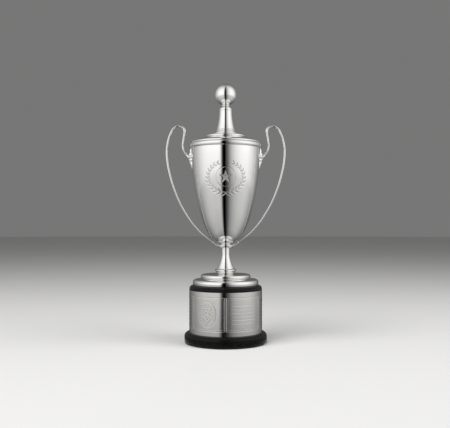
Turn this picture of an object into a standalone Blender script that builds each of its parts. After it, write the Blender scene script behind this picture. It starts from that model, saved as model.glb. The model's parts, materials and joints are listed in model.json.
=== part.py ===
"""A covered presentation cup on a round plinth.

Metres, +Z up. The origin is at the centre of the underside, the cup's front faces -Y and its handles
lie along X. The lid is the only moving assembly: it lifts straight off along +Z.
"""

import math

import bmesh
import bpy
from mathutils import Matrix, Vector

NAME = "covered_cup_trophy"

# Clearances and the resolution of the turned work
GAP = 0.0003
CLOSE_CLEARANCE = 0.00045
LARGE_STEPS = 32
MEDIUM_STEPS = 20
SMALL_STEPS = 16
PIN_STEPS = 8
MERGE = 0.000001
CUT_OVERRUN = 0.002

# Plinth: a felt disc, a turned foot, a banded drum and a turned cap
FELT_RADIUS = 0.0760
FELT_THICKNESS = 0.0015
PLINTH_FOOT_RADIUS = 0.0797
PLINTH_FOOT_TOP = 0.0210
PLINTH_FOOT_SIDE_TOP = 0.0134
PLINTH_FOOT_OPENING = 0.0160
BAND_RADIUS = 0.0705
BAND_THICKNESS = 0.0008
BAND_SEAM = 0.0005
SEAM_CUT_DEPTH = 0.0200
BAND_TOP = 0.1021
CAP_BOTTOM = BAND_TOP + GAP
CAP_TOP = 0.1112
CAP_RADIUS = 0.0702
CAP_SHOULDER_RADIUS = 0.0625
CAP_EDGE_HEIGHT = 0.0020
TURNED_EDGE = 0.0010
COUNTERBORE_RADIUS = 0.0140
COUNTERBORE_DEPTH = 0.0100

# Hardware
ROD_RADIUS = 0.0030
ROD_BORE = 0.0034
ROD_BOTTOM = 0.0225
ROD_TOP = 0.2052
STUD_RADIUS = 0.0025
STUD_BORE = 0.0028
WASHER_THICKNESS = 0.0015
WASHER_RADIUS = 0.0085
ROD_NUT_FLATS = 0.0100
ROD_NUT_THICKNESS = 0.0050
STUD_NUT_FLATS = 0.0080
STUD_NUT_THICKNESS = 0.0040
SCREW_CIRCLE = 0.0450
SCREW_COUNT = 3
SCREW_HEAD_RADIUS = 0.0042
SCREW_HEAD_DEPTH = 0.0026
SCREW_SHANK_RADIUS = 0.0019
SCREW_TIP = 0.0360
SCREW_TIP_LENGTH = 0.0040
SCREW_HOLE_DEPTH = 0.0370
SCREW_CLEARANCE = 0.0004
STUD_BELOW_NUT = 0.0012
STUD_ABOVE_BOSS = 0.0018
PIN_HEAD_RADIUS = 0.0013
PIN_HEAD_HEIGHT = 0.0007
PIN_SHANK_RADIUS = 0.0006
PIN_LENGTH = 0.0070
PIN_SPREAD_DEG = 4.5
PIN_HEIGHTS = (0.0320, 0.0617, 0.0914)

# Silver feet and stem
FLANGE_TOP = 0.1207
FLANGE_RADIUS = 0.0636
STEP_TOP = 0.1317
STEP_RADIUS = 0.0482
SPUN_WALL = 0.0018
FLANGE_NOSE = 0.0062
FLANGE_NOSE_HEIGHT = 0.0042
FLANGE_TUCK = 0.0035
FLANGE_TOP_RADIUS = 0.0500
STEP_NOSE = 0.0042
STEP_NOSE_HEIGHT = 0.0044
STEP_TUCK = 0.0015
STEM_TOP = 0.1823
STEM_NECK_RADIUS = 0.0076
STEM_FLARE_TOP = 0.1700
STEM_FLARE_BOTTOM = 0.1426
STEM_FLARE_GROWTH = 0.0097
STEM_FLARE_CURVE = 1.6
STEM_LIP_RADIUS = 0.0210
STEM_LIP_Z = 0.1400
STEM_FOOT_TOP = 0.1336
STEM_FOOT_RADIUS = 0.0160
COLLAR_TOP = 0.1882
COLLAR_RADIUS = 0.0157
KNOP_TOP = 0.1942
KNOP_CORE_RADIUS = 0.0090
KNOP_BULGE = 0.0067
KNOP_DROP = 0.0060
KNOP_FOOT_RADIUS = 0.0124

# Bowl: r = BOWL_RADIUS * (1 - ((shoulder - z) / depth) ** 1.6) ** 0.4
BOWL_RADIUS = 0.0668
BOWL_BOTTOM = 0.1945
BOWL_SHOULDER = 0.3750
BOWL_DEPTH = 0.1860
BOWL_FULLNESS = 1.6
BOWL_ROUNDNESS = 0.4
BOWL_RINGS = 11
BOWL_CROWDING = 1.6
BOWL_WALL = 0.0013
BOWL_FLOOR = BOWL_BOTTOM + 0.0016
BOWL_FLOOR_RADIUS = 0.0185
RIM_TOP = 0.3843
RIM_RADIUS = 0.0708
RIM_FLAT = 0.0005
LIP_ROUND = 0.0003
BRACKET_WALL_BOTTOM = 0.3000

# Lid
LID_EDGE = RIM_TOP + GAP
LID_RADIUS = 0.0680
LID_SPRING = 0.3860
LID_RISE = 0.0092
LID_WALL = 0.0012
BEZEL_RADIUS = 0.0649
BEZEL_WALL = 0.0012
BEZEL_BOTTOM = 0.3720
BEZEL_TOP = 0.3870
PLATE_RADIUS = 0.0394
PLATE_TOP = 0.4006
PLATE_FOOT_RADIUS = 0.0370
PLATE_FOOT_TOP = 0.3953
PLATE_NOSE = 0.0030
PLATE_NOSE_HEIGHT = 0.0023
FINIAL_BASE_TOP = 0.4110
FINIAL_BASE_RADIUS = 0.0247
FINIAL_TOP_RADIUS = 0.0186
UPPER_BEAD = (0.0200, 0.4098, 0.0011)
LOWER_BEAD = (0.0218, 0.4050, 0.0012)
FINIAL_STEP_TOP = 0.4032
FINIAL_WALL = 0.0016
SPIRE_TOP = 0.4550
SPIRE_SHOULDER = 0.4470
SPIRE_RADIUS = 0.0126
SPIRE_GROWTH = 0.0059
SPIRE_CURVE = 1.8
SPIRE_CAP_RADIUS = 0.0128
SPIRE_CAP_FLAT = 0.0086
SPIRE_CAP_BOTTOM = 0.4490
SPIRE_CAP_WALL = 0.0026
NECK_RADIUS = 0.0079
NECK_SEAT_RADIUS = 0.0054
NECK_BEAD = (0.0087, 0.4576, 0.0009)
NECK_WAIST_Z = 0.4562
BALL_CENTRE = 0.4796
BALL_RADIUS = 0.0214
BALL_WALL = 0.0016
BALL_BOSS = 0.0050

# One handle, on the +X side: x, z and the wire's radius, from the bracket round to the stem collar
HANDLE_PATH = (
    (0.0736, 0.3606, 0.00165),
    (0.0790, 0.3670, 0.00170),
    (0.0822, 0.3734, 0.00185),
    (0.0832, 0.3800, 0.00190),
    (0.0823, 0.3910, 0.00185),
    (0.0803, 0.4025, 0.00215),
    (0.0797, 0.4095, 0.00270),
    (0.0828, 0.4155, 0.00235),
    (0.0920, 0.4186, 0.00170),
    (0.1008, 0.4142, 0.00195),
    (0.1069, 0.4040, 0.00205),
    (0.1118, 0.3890, 0.00210),
    (0.1142, 0.3700, 0.00210),
    (0.1132, 0.3520, 0.00210),
    (0.1100, 0.3327, 0.00205),
    (0.0989, 0.2939, 0.00195),
    (0.0809, 0.2551, 0.00180),
    (0.0526, 0.2163, 0.00150),
    (0.0297, 0.1969, 0.00130),
    (0.0206, 0.1907, 0.00115),
)
WIRE_POINT_STEPS = 2
WIRE_BEVEL_RESOLUTION = 2

# The cast leaf bracket: its spine on the bowl's wall and its arm to the handle, as x, z and radius
BRACKET_SPINE = (
    (0.0670, 0.3734, 0.0006),
    (0.0672, 0.3695, 0.0014),
    (0.0674, 0.3650, 0.0025),
    (0.0676, 0.3595, 0.0040),
    (0.0673, 0.3540, 0.0031),
    (0.0665, 0.3475, 0.0019),
    (0.0660, 0.3405, 0.0017),
    (0.0658, 0.3378, 0.0010),
)
BRACKET_ARM = (
    (0.0672, 0.3568, 0.0042),
    (0.0723, 0.3596, 0.0034),
    (0.0768, 0.3644, 0.0028),
)
HANDLE_SOCKET_RADIUS = 0.00205
SOCKET_END_ROOM = 0.0004
SOCKET_SIDES = 12
FERRULE_START = 0.0053
FERRULE_BEAD_RADIUS = 0.0029
FERRULE_GROOVE_RADIUS = 0.0025
FERRULE_LENGTH = 0.0032

# The terminal that joins the handle's lower end to the stem collar
FOOT_AXIS = ((0.0145, 0.1863, 0.0025), (0.0200, 0.1902, 0.0023), (0.0242, 0.1932, 0.0021))
FOOT_SOCKET_RADIUS = 0.00150
FOOT_CLEAR_RADIUS = 0.0160

COLOURS = {
    "polished_silver": ((0.93, 0.92, 0.90), 1.0, 0.05),
    "satin_silver": ((0.80, 0.79, 0.76), 1.0, 0.32),
    "black_lacquer": ((0.010, 0.009, 0.009), 0.0, 0.14),
    "core_wood": ((0.23, 0.13, 0.07), 0.0, 0.60),
    "felt": ((0.020, 0.045, 0.030), 0.0, 0.95),
    "brass": ((0.72, 0.52, 0.24), 1.0, 0.28),
    "zinc_steel": ((0.62, 0.63, 0.65), 1.0, 0.35),
}


def clear_scene():
    for obj in list(bpy.data.objects):
        bpy.data.objects.remove(obj, do_unlink=True)


def new_collection(name):
    collection = bpy.data.collections.new(name)
    bpy.context.scene.collection.children.link(collection)
    return collection


def make_finishes():
    finishes = {}
    for name, (colour, metallic, roughness) in COLOURS.items():
        finish = bpy.data.materials.new(name)
        finish.use_nodes = True
        shader = finish.node_tree.nodes["Principled BSDF"]
        shader.inputs["Base Color"].default_value = (*colour, 1.0)
        shader.inputs["Metallic"].default_value = metallic
        shader.inputs["Roughness"].default_value = roughness
        finishes[name] = finish
    return finishes


def add_part(name, mesh, finish):
    """A new object in the trophy's collection, with one material."""
    obj = bpy.data.objects.new(name, mesh)
    parts.objects.link(obj)
    mesh.materials.append(finishes[finish])
    return obj


def add_cutter(name, mesh):
    obj = bpy.data.objects.new(name, mesh)
    cutters.objects.link(obj)
    obj.hide_render = True
    obj.display_type = "WIRE"
    return obj


def profile_mesh(name, profile, closed):
    """The outline that a turned piece is spun from, as radius and height, down its outer side first."""
    mesh = bpy.data.meshes.new(name)
    edges = [(i, i + 1) for i in range(len(profile) - 1)]
    if closed:
        edges.append((len(profile) - 1, 0))
    mesh.from_pydata([(radius, 0.0, height) for radius, height in profile], edges, [])
    return mesh


def spin(obj, steps):
    screw = obj.modifiers.new("Turn", "SCREW")
    screw.axis = "Z"
    screw.angle = 2 * math.pi
    screw.steps = steps
    screw.render_steps = steps
    screw.use_smooth_shade = True
    screw.use_merge_vertices = True
    screw.merge_threshold = MERGE
    return obj


def turned(name, profile, finish, steps=LARGE_STEPS, closed=True):
    """A turned piece. A closed profile has a bore, and an open one starts and ends on the axis."""
    return spin(add_part(name, profile_mesh(name, profile, closed), finish), steps)


def turned_cutter(name, profile, steps, closed=False):
    return spin(add_cutter(name, profile_mesh(name, profile, closed)), steps)


def cylinder_cutter(name, radius, start, end, sides=SMALL_STEPS, far_radius=None):
    """A round or conical cutter whose axis runs from start to end."""
    start = Vector(start)
    axis = Vector(end) - start
    shape = bmesh.new()
    bmesh.ops.create_cone(
        shape,
        cap_ends=True,
        segments=sides,
        radius1=radius,
        radius2=radius if far_radius is None else far_radius,
        depth=axis.length,
        matrix=Matrix.Translation((0.0, 0.0, axis.length / 2)),
    )
    mesh = bpy.data.meshes.new(name)
    shape.to_mesh(mesh)
    shape.free()
    cutter = add_cutter(name, mesh)
    cutter.location = start
    cutter.rotation_euler = axis.to_track_quat("Z", "Y").to_euler()
    return cutter


def combine(obj, other, operation="DIFFERENCE"):
    boolean = obj.modifiers.new(operation.title() + " " + other.name, "BOOLEAN")
    boolean.operation = operation
    boolean.solver = "EXACT"
    boolean.object = other
    return obj


def ellipse(radius, height, across, rise, start, end, count):
    """Points on an ellipse about (radius, height), from one angle to another in degrees."""
    points = []
    for i in range(count):
        angle = math.radians(start + (end - start) * i / (count - 1))
        points.append((radius + across * math.cos(angle), height + rise * math.sin(angle)))
    return points


def bowl_radius(height):
    """The outer radius of the egg-shaped bowl."""
    if height >= BOWL_SHOULDER:
        return BOWL_RADIUS
    drop = (BOWL_SHOULDER - height) / BOWL_DEPTH
    return BOWL_RADIUS * (1 - drop**BOWL_FULLNESS) ** BOWL_ROUNDNESS


def bowl_slope(height):
    """How fast the bowl's radius grows with height."""
    span = 0.0001
    return (bowl_radius(height + span) - bowl_radius(height)) / span


def lid_surface(radius):
    """The height of the lid's outer face at a radius."""
    return LID_SPRING + LID_RISE * math.sqrt(1 - (radius / LID_RADIUS) ** 2)


def build_plinth():
    turned(
        "base_felt",
        [(0.0, FELT_THICKNESS), (FELT_RADIUS, FELT_THICKNESS), (FELT_RADIUS, 0.0), (0.0, 0.0)],
        "felt",
        closed=False,
    )
    underside = FELT_THICKNESS + GAP
    foot = turned(
        "plinth_foot",
        [(PLINTH_FOOT_OPENING, PLINTH_FOOT_TOP)]
        + ellipse(
            BAND_RADIUS,
            PLINTH_FOOT_SIDE_TOP,
            PLINTH_FOOT_RADIUS - BAND_RADIUS,
            PLINTH_FOOT_TOP - PLINTH_FOOT_SIDE_TOP,
            90,
            0,
            5,
        )
        + [
            (PLINTH_FOOT_RADIUS, underside + TURNED_EDGE),
            (PLINTH_FOOT_RADIUS - TURNED_EDGE, underside),
            (PLINTH_FOOT_OPENING, underside),
        ],
        "black_lacquer",
    )
    drum_bottom = PLINTH_FOOT_TOP + GAP
    drum_radius = BAND_RADIUS - BAND_THICKNESS - GAP
    counterbore_top = drum_bottom + COUNTERBORE_DEPTH
    drum = turned(
        "plinth_drum",
        [
            (ROD_BORE, BAND_TOP),
            (drum_radius, BAND_TOP),
            (drum_radius, drum_bottom),
            (COUNTERBORE_RADIUS, drum_bottom),
            (COUNTERBORE_RADIUS, counterbore_top),
            (ROD_BORE, counterbore_top),
        ],
        "core_wood",
    )
    band_inner = BAND_RADIUS - BAND_THICKNESS
    band = turned(
        "plinth_band",
        [
            (BAND_RADIUS, BAND_TOP),
            (BAND_RADIUS, drum_bottom),
            (band_inner, drum_bottom),
            (band_inner, BAND_TOP),
        ],
        "satin_silver",
    )
    turned(
        "plinth_cap",
        [(ROD_BORE, CAP_TOP)]
        + ellipse(
            CAP_SHOULDER_RADIUS,
            CAP_BOTTOM + CAP_EDGE_HEIGHT,
            CAP_RADIUS - CAP_SHOULDER_RADIUS,
            CAP_TOP - CAP_BOTTOM - CAP_EDGE_HEIGHT,
            90,
            0,
            5,
        )
        + [(CAP_RADIUS, CAP_BOTTOM), (ROD_BORE, CAP_BOTTOM)],
        "black_lacquer",
    )
    cut_band_seam(band)
    add_band_pins(band, drum)
    add_plinth_screws(foot, drum, underside)


def cut_band_seam(band):
    """The band is one strip whose ends meet at the back, with a hairline between them."""
    shape = bmesh.new()
    bmesh.ops.create_cube(shape, size=1.0)
    height = BAND_TOP + CUT_OVERRUN
    bmesh.ops.scale(shape, vec=(BAND_SEAM, SEAM_CUT_DEPTH, height), verts=shape.verts)
    bmesh.ops.translate(shape, vec=(0.0, BAND_RADIUS, height / 2), verts=shape.verts)
    mesh = bpy.data.meshes.new("seam_cutter")
    shape.to_mesh(mesh)
    shape.free()
    combine(band, add_cutter("seam_cutter", mesh))


def add_band_pins(band, drum):
    """Three round-headed pins on each side of the band's seam."""
    pin_profile = [
        (0.0, PIN_HEAD_HEIGHT),
        (PIN_HEAD_RADIUS * 0.7, PIN_HEAD_HEIGHT * 0.75),
        (PIN_HEAD_RADIUS, PIN_HEAD_HEIGHT * 0.15),
        (PIN_HEAD_RADIUS, 0.0),
        (PIN_SHANK_RADIUS, 0.0),
        (PIN_SHANK_RADIUS, -PIN_LENGTH),
        (0.0, -PIN_LENGTH - PIN_SHANK_RADIUS),
    ]
    number = 0
    for side in (-1, 1):
        angle = math.radians(90 + side * PIN_SPREAD_DEG)
        outward = Vector((math.cos(angle), math.sin(angle), 0.0))
        for height in PIN_HEIGHTS:
            number += 1
            seat = outward * (BAND_RADIUS + GAP) + Vector((0.0, 0.0, height))
            pin = turned(f"band_pin_{number}", pin_profile, "polished_silver", PIN_STEPS, closed=False)
            pin.location = seat
            pin.rotation_euler = outward.to_track_quat("Z", "Y").to_euler()
            hole = cylinder_cutter(
                f"pin_hole_{number}",
                PIN_SHANK_RADIUS + GAP,
                seat + outward * CUT_OVERRUN,
                seat - outward * (PIN_LENGTH + CUT_OVERRUN),
                sides=PIN_STEPS,
            )
            combine(band, hole)
            combine(drum, hole)


def add_plinth_screws(foot, drum, underside):
    """Countersunk wood screws that hold the turned foot under the drum."""
    head = underside + GAP
    screw_profile = [
        (0.0, SCREW_TIP),
        (SCREW_SHANK_RADIUS, SCREW_TIP - SCREW_TIP_LENGTH),
        (SCREW_SHANK_RADIUS, head + SCREW_HEAD_DEPTH),
        (SCREW_HEAD_RADIUS, head),
        (0.0, head),
    ]
    hole_radius = SCREW_SHANK_RADIUS + SCREW_CLEARANCE
    sink_radius = SCREW_HEAD_RADIUS + SCREW_CLEARANCE
    sink_top = head + SCREW_HEAD_DEPTH + GAP
    sink_slope = (sink_radius - hole_radius) / (sink_top - underside)
    for i in range(SCREW_COUNT):
        angle = 2 * math.pi * (i + 0.25) / SCREW_COUNT
        place = Vector((SCREW_CIRCLE * math.cos(angle), SCREW_CIRCLE * math.sin(angle), 0.0))
        screw = turned(f"plinth_screw_{i + 1}", screw_profile, "zinc_steel", PIN_STEPS, closed=False)
        screw.location = place
        hole = cylinder_cutter(
            f"screw_hole_{i + 1}",
            hole_radius,
            place + Vector((0.0, 0.0, -CUT_OVERRUN)),
            place + Vector((0.0, 0.0, SCREW_HOLE_DEPTH)),
        )
        sink = cylinder_cutter(
            f"countersink_{i + 1}",
            sink_radius + sink_slope * CUT_OVERRUN,
            place + Vector((0.0, 0.0, underside - CUT_OVERRUN)),
            place + Vector((0.0, 0.0, sink_top)),
            far_radius=hole_radius,
        )
        combine(foot, hole)
        combine(foot, sink)
        combine(drum, hole)


def build_feet():
    """Two spun ring mouldings, open underneath."""
    flange_bottom = CAP_TOP + GAP
    nose_z = flange_bottom + FLANGE_NOSE_HEIGHT
    nose_start = FLANGE_RADIUS - FLANGE_NOSE
    skirt = FLANGE_RADIUS - FLANGE_TUCK
    turned(
        "foot_flange",
        [(ROD_BORE, FLANGE_TOP), (FLANGE_TOP_RADIUS, FLANGE_TOP)]
        + ellipse(nose_start, nose_z, FLANGE_NOSE, FLANGE_NOSE_HEIGHT, 80, -60, 6)
        + [
            (skirt, flange_bottom),
            (skirt - SPUN_WALL, flange_bottom),
            (FLANGE_RADIUS - SPUN_WALL, nose_z),
            (nose_start, nose_z + FLANGE_NOSE_HEIGHT - SPUN_WALL),
            (FLANGE_TOP_RADIUS, FLANGE_TOP - SPUN_WALL),
            (ROD_BORE, FLANGE_TOP - SPUN_WALL),
        ],
        "polished_silver",
    )
    step_bottom = FLANGE_TOP + GAP
    edge_z = STEP_TOP - STEP_NOSE_HEIGHT
    skirt = STEP_RADIUS - STEP_TUCK
    turned(
        "foot_step",
        [(ROD_BORE, STEP_TOP)]
        + ellipse(STEP_RADIUS - STEP_NOSE, edge_z, STEP_NOSE, STEP_NOSE_HEIGHT, 90, -62, 6)
        + [
            (skirt, step_bottom),
            (skirt - SPUN_WALL, step_bottom),
            (STEP_RADIUS - SPUN_WALL * 1.5, edge_z),
            (STEP_RADIUS - SPUN_WALL - STEP_NOSE / 2, STEP_TOP - SPUN_WALL),
            (ROD_BORE, STEP_TOP - SPUN_WALL),
        ],
        "polished_silver",
    )


def build_stem():
    bottom = STEP_TOP + GAP
    flare = []
    for i in range(7):
        share = i / 6
        height = STEM_FLARE_TOP + (STEM_FLARE_BOTTOM - STEM_FLARE_TOP) * share
        flare.append((STEM_NECK_RADIUS + STEM_FLARE_GROWTH * share**STEM_FLARE_CURVE, height))
    turned(
        "stem",
        [(ROD_BORE, STEM_TOP), (STEM_NECK_RADIUS + 0.0002, STEM_TOP)]
        + flare
        + [
            (STEM_LIP_RADIUS - 0.0010, STEM_LIP_Z + 0.0011),
            (STEM_LIP_RADIUS, STEM_LIP_Z),
            (STEM_LIP_RADIUS - 0.0006, STEM_LIP_Z - 0.0014),
            (STEM_FOOT_RADIUS + 0.0024, STEM_FOOT_TOP + 0.0016),
            (STEM_FOOT_RADIUS + 0.0003, STEM_FOOT_TOP),
            (STEM_FOOT_RADIUS, bottom),
            (ROD_BORE, bottom),
        ],
        "polished_silver",
        MEDIUM_STEPS,
    )
    collar_bottom = STEM_TOP + GAP
    turned(
        "stem_collar",
        [
            (ROD_BORE, COLLAR_TOP),
            (COLLAR_RADIUS - 0.0004, COLLAR_TOP),
            (COLLAR_RADIUS, COLLAR_TOP - 0.0006),
            (COLLAR_RADIUS - 0.0002, COLLAR_TOP - 0.0027),
            (COLLAR_RADIUS - 0.0011, COLLAR_TOP - 0.0048),
            (COLLAR_RADIUS - 0.0020, collar_bottom),
            (ROD_BORE, collar_bottom),
        ],
        "polished_silver",
        MEDIUM_STEPS,
    )
    turned(
        "knop",
        [(ROD_BORE, KNOP_TOP)]
        + ellipse(KNOP_CORE_RADIUS, KNOP_TOP - 0.0006, KNOP_BULGE, KNOP_DROP, 5.7, -56, 5)
        + [(KNOP_FOOT_RADIUS, COLLAR_TOP + GAP), (ROD_BORE, COLLAR_TOP + GAP)],
        "polished_silver",
        MEDIUM_STEPS,
    )


def bowl_outline():
    """The bowl's outer points from its lip down, crowded towards the rounded bottom."""
    points = []
    for i in range(BOWL_RINGS):
        share = 1 - i / (BOWL_RINGS - 1)
        height = BOWL_BOTTOM + (BOWL_SHOULDER - BOWL_BOTTOM) * share**BOWL_CROWDING
        points.append((bowl_radius(height), height))
    return points


def build_bowl():
    outer = bowl_outline()
    inner = []
    for radius, height in reversed(outer):
        slope = bowl_slope(height)
        length = math.hypot(1.0, slope)
        point = (radius - BOWL_WALL / length, height + BOWL_WALL * slope / length)
        if point[1] > BOWL_FLOOR + BOWL_WALL:
            inner.append(point)
    turned(
        "bowl",
        [(BOWL_RADIUS - LIP_ROUND, RIM_TOP), (BOWL_RADIUS, RIM_TOP - LIP_ROUND)]
        + outer
        + [(ROD_BORE, BOWL_BOTTOM), (ROD_BORE, BOWL_FLOOR), (BOWL_FLOOR_RADIUS, BOWL_FLOOR)]
        + inner
        + [(BOWL_RADIUS - BOWL_WALL, RIM_TOP)],
        "polished_silver",
    )
    rim_middle = (RIM_TOP + BOWL_SHOULDER) / 2
    seat = BOWL_RADIUS + GAP
    round_start = seat + RIM_FLAT
    turned(
        "rim_moulding",
        [(seat, RIM_TOP)]
        + ellipse(round_start, rim_middle, RIM_RADIUS - round_start, RIM_TOP - rim_middle, 82, -82, 7)
        + [(seat, BOWL_SHOULDER)],
        "polished_silver",
    )


def hex_nut(name, flats, thickness, bore, bottom):
    """A plain hexagon nut with a clear bore, standing on height bottom."""
    shape = bmesh.new()
    bmesh.ops.create_cone(
        shape,
        cap_ends=True,
        segments=6,
        radius1=flats / 2 / math.cos(math.pi / 6),
        radius2=flats / 2 / math.cos(math.pi / 6),
        depth=thickness,
        matrix=Matrix.Translation((0.0, 0.0, bottom + thickness / 2)),
    )
    mesh = bpy.data.meshes.new(name)
    shape.to_mesh(mesh)
    shape.free()
    nut = add_part(name, mesh, "brass")
    hole = cylinder_cutter(
        name + "_bore",
        bore,
        (0.0, 0.0, bottom - CUT_OVERRUN),
        (0.0, 0.0, bottom + thickness + CUT_OVERRUN),
    )
    return combine(nut, hole)


def washer(name, bore, bottom):
    top = bottom + WASHER_THICKNESS
    ring = [(WASHER_RADIUS, top), (WASHER_RADIUS, bottom), (bore, bottom), (bore, top)]
    return turned(name, ring, "brass", SMALL_STEPS)


def rod(name, radius, bottom, top):
    """A plain rod with chamfered ends."""
    chamfer = radius * 0.25
    outline = [
        (0.0, top),
        (radius - chamfer, top),
        (radius, top - chamfer),
        (radius, bottom + chamfer),
        (radius - chamfer, bottom),
        (0.0, bottom),
    ]
    return turned(name, outline, "brass", SMALL_STEPS, closed=False)


def build_tie_rod():
    """The rod that clamps the bowl, stem, feet and plinth together, with a nut at each end."""
    rod("tie_rod", ROD_RADIUS, ROD_BOTTOM, ROD_TOP)
    counterbore_top = PLINTH_FOOT_TOP + GAP + COUNTERBORE_DEPTH
    base_washer_bottom = counterbore_top - GAP - WASHER_THICKNESS
    washer("base_washer", ROD_BORE, base_washer_bottom)
    nut_bottom = base_washer_bottom - GAP - ROD_NUT_THICKNESS
    hex_nut("base_nut", ROD_NUT_FLATS, ROD_NUT_THICKNESS, ROD_BORE, nut_bottom)
    bowl_washer_bottom = BOWL_FLOOR + GAP
    washer("bowl_washer", ROD_BORE, bowl_washer_bottom)
    nut_bottom = bowl_washer_bottom + WASHER_THICKNESS + GAP
    hex_nut("bowl_nut", ROD_NUT_FLATS, ROD_NUT_THICKNESS, ROD_BORE, nut_bottom)


def wire_mesh(name, path, side):
    """A round wire of varying thickness through points in the plane of the handles, as a welded mesh."""
    curve = bpy.data.curves.new(name, "CURVE")
    curve.dimensions = "3D"
    curve.resolution_u = WIRE_POINT_STEPS
    curve.bevel_depth = 1.0
    curve.bevel_resolution = WIRE_BEVEL_RESOLUTION
    curve.use_fill_caps = True
    spline = curve.splines.new("BEZIER")
    spline.bezier_points.add(len(path) - 1)
    for point, (x, z, radius) in zip(spline.bezier_points, path):
        point.co = (side * x, 0.0, z)
        point.radius = radius
        point.handle_left_type = "AUTO"
        point.handle_right_type = "AUTO"
    guide = bpy.data.objects.new(name + "_curve", curve)
    cutters.objects.link(guide)
    bpy.context.view_layer.update()
    graph = bpy.context.evaluated_depsgraph_get()
    mesh = bpy.data.meshes.new_from_object(guide.evaluated_get(graph))
    mesh.name = name
    shape = bmesh.new()
    shape.from_mesh(mesh)
    bmesh.ops.remove_doubles(shape, verts=shape.verts, dist=MERGE)
    bmesh.ops.recalc_face_normals(shape, faces=shape.faces)
    shape.to_mesh(mesh)
    shape.free()
    mesh.materials.clear()
    bpy.data.objects.remove(guide)
    return mesh


def along(path, distance, side):
    """A point in space at a distance from a path's start, in the direction of its first stretch."""
    start = Vector((side * path[0][0], 0.0, path[0][1]))
    towards = Vector((side * path[1][0], 0.0, path[1][1])) - start
    return start + towards.normalized() * distance


def build_ferrule(name, side):
    """A short sleeve with two beads, round the handle where it enters its bracket."""
    middle = FERRULE_LENGTH / 2
    bead_z = FERRULE_LENGTH * 0.26
    profile = [
        (HANDLE_SOCKET_RADIUS, FERRULE_LENGTH),
        (FERRULE_GROOVE_RADIUS, FERRULE_LENGTH),
        (FERRULE_BEAD_RADIUS, middle + bead_z),
        (FERRULE_GROOVE_RADIUS, middle),
        (FERRULE_BEAD_RADIUS, middle - bead_z),
        (FERRULE_GROOVE_RADIUS, 0.0),
        (HANDLE_SOCKET_RADIUS, 0.0),
    ]
    ferrule = turned(name, profile, "polished_silver", SOCKET_SIDES)
    start = along(HANDLE_PATH, FERRULE_START, side)
    ferrule.location = start
    ferrule.rotation_euler = (start - along(HANDLE_PATH, 0.0, side)).to_track_quat("Z", "Y").to_euler()


def build_bracket(name, side, wall_cutter):
    """A cast leaf on the bowl's wall with an arm that holds the handle's upper end."""
    bracket = add_part(name, wire_mesh(name, BRACKET_SPINE, side), "polished_silver")
    arm = add_cutter(name + "_arm", wire_mesh(name + "_arm", BRACKET_ARM, side))
    combine(bracket, arm, "UNION")
    combine(bracket, wall_cutter)
    socket = cylinder_cutter(
        name + "_socket",
        HANDLE_SOCKET_RADIUS,
        along(HANDLE_PATH, -SOCKET_END_ROOM, side),
        along(HANDLE_PATH, FERRULE_START + CUT_OVERRUN, side),
        sides=SOCKET_SIDES,
    )
    combine(bracket, socket)


def build_handle_foot(name, side, collar_cutter):
    """A tapered terminal from the stem collar to the handle's lower end."""
    foot = add_part(name, wire_mesh(name, FOOT_AXIS, side), "polished_silver")
    combine(foot, collar_cutter)
    end = Vector((side * HANDLE_PATH[-1][0], 0.0, HANDLE_PATH[-1][1]))
    before = Vector((side * HANDLE_PATH[-2][0], 0.0, HANDLE_PATH[-2][1]))
    inward = (end - before).normalized()
    socket = cylinder_cutter(
        name + "_socket",
        FOOT_SOCKET_RADIUS,
        before,
        end + inward * SOCKET_END_ROOM,
        sides=SOCKET_SIDES,
    )
    combine(foot, socket)


def build_handles():
    wall = [(radius + GAP, height) for radius, height in bowl_outline() if height > BRACKET_WALL_BOTTOM]
    wall_cutter = turned_cutter(
        "bowl_wall_cutter",
        [(0.0, RIM_TOP), (BOWL_RADIUS + GAP, RIM_TOP)] + wall + [(0.0, wall[-1][1])],
        LARGE_STEPS,
    )
    collar_cutter = cylinder_cutter(
        "collar_cutter",
        FOOT_CLEAR_RADIUS,
        (0.0, 0.0, STEM_TOP - CUT_OVERRUN),
        (0.0, 0.0, KNOP_TOP),
        sides=MEDIUM_STEPS,
    )
    for word, side in (("right", 1), ("left", -1)):
        add_part("handle_" + word, wire_mesh("handle_" + word, HANDLE_PATH, side), "polished_silver")
        build_bracket("handle_bracket_" + word, side, wall_cutter)
        build_ferrule("handle_ferrule_" + word, side)
        build_handle_foot("handle_foot_" + word, side, collar_cutter)


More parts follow.
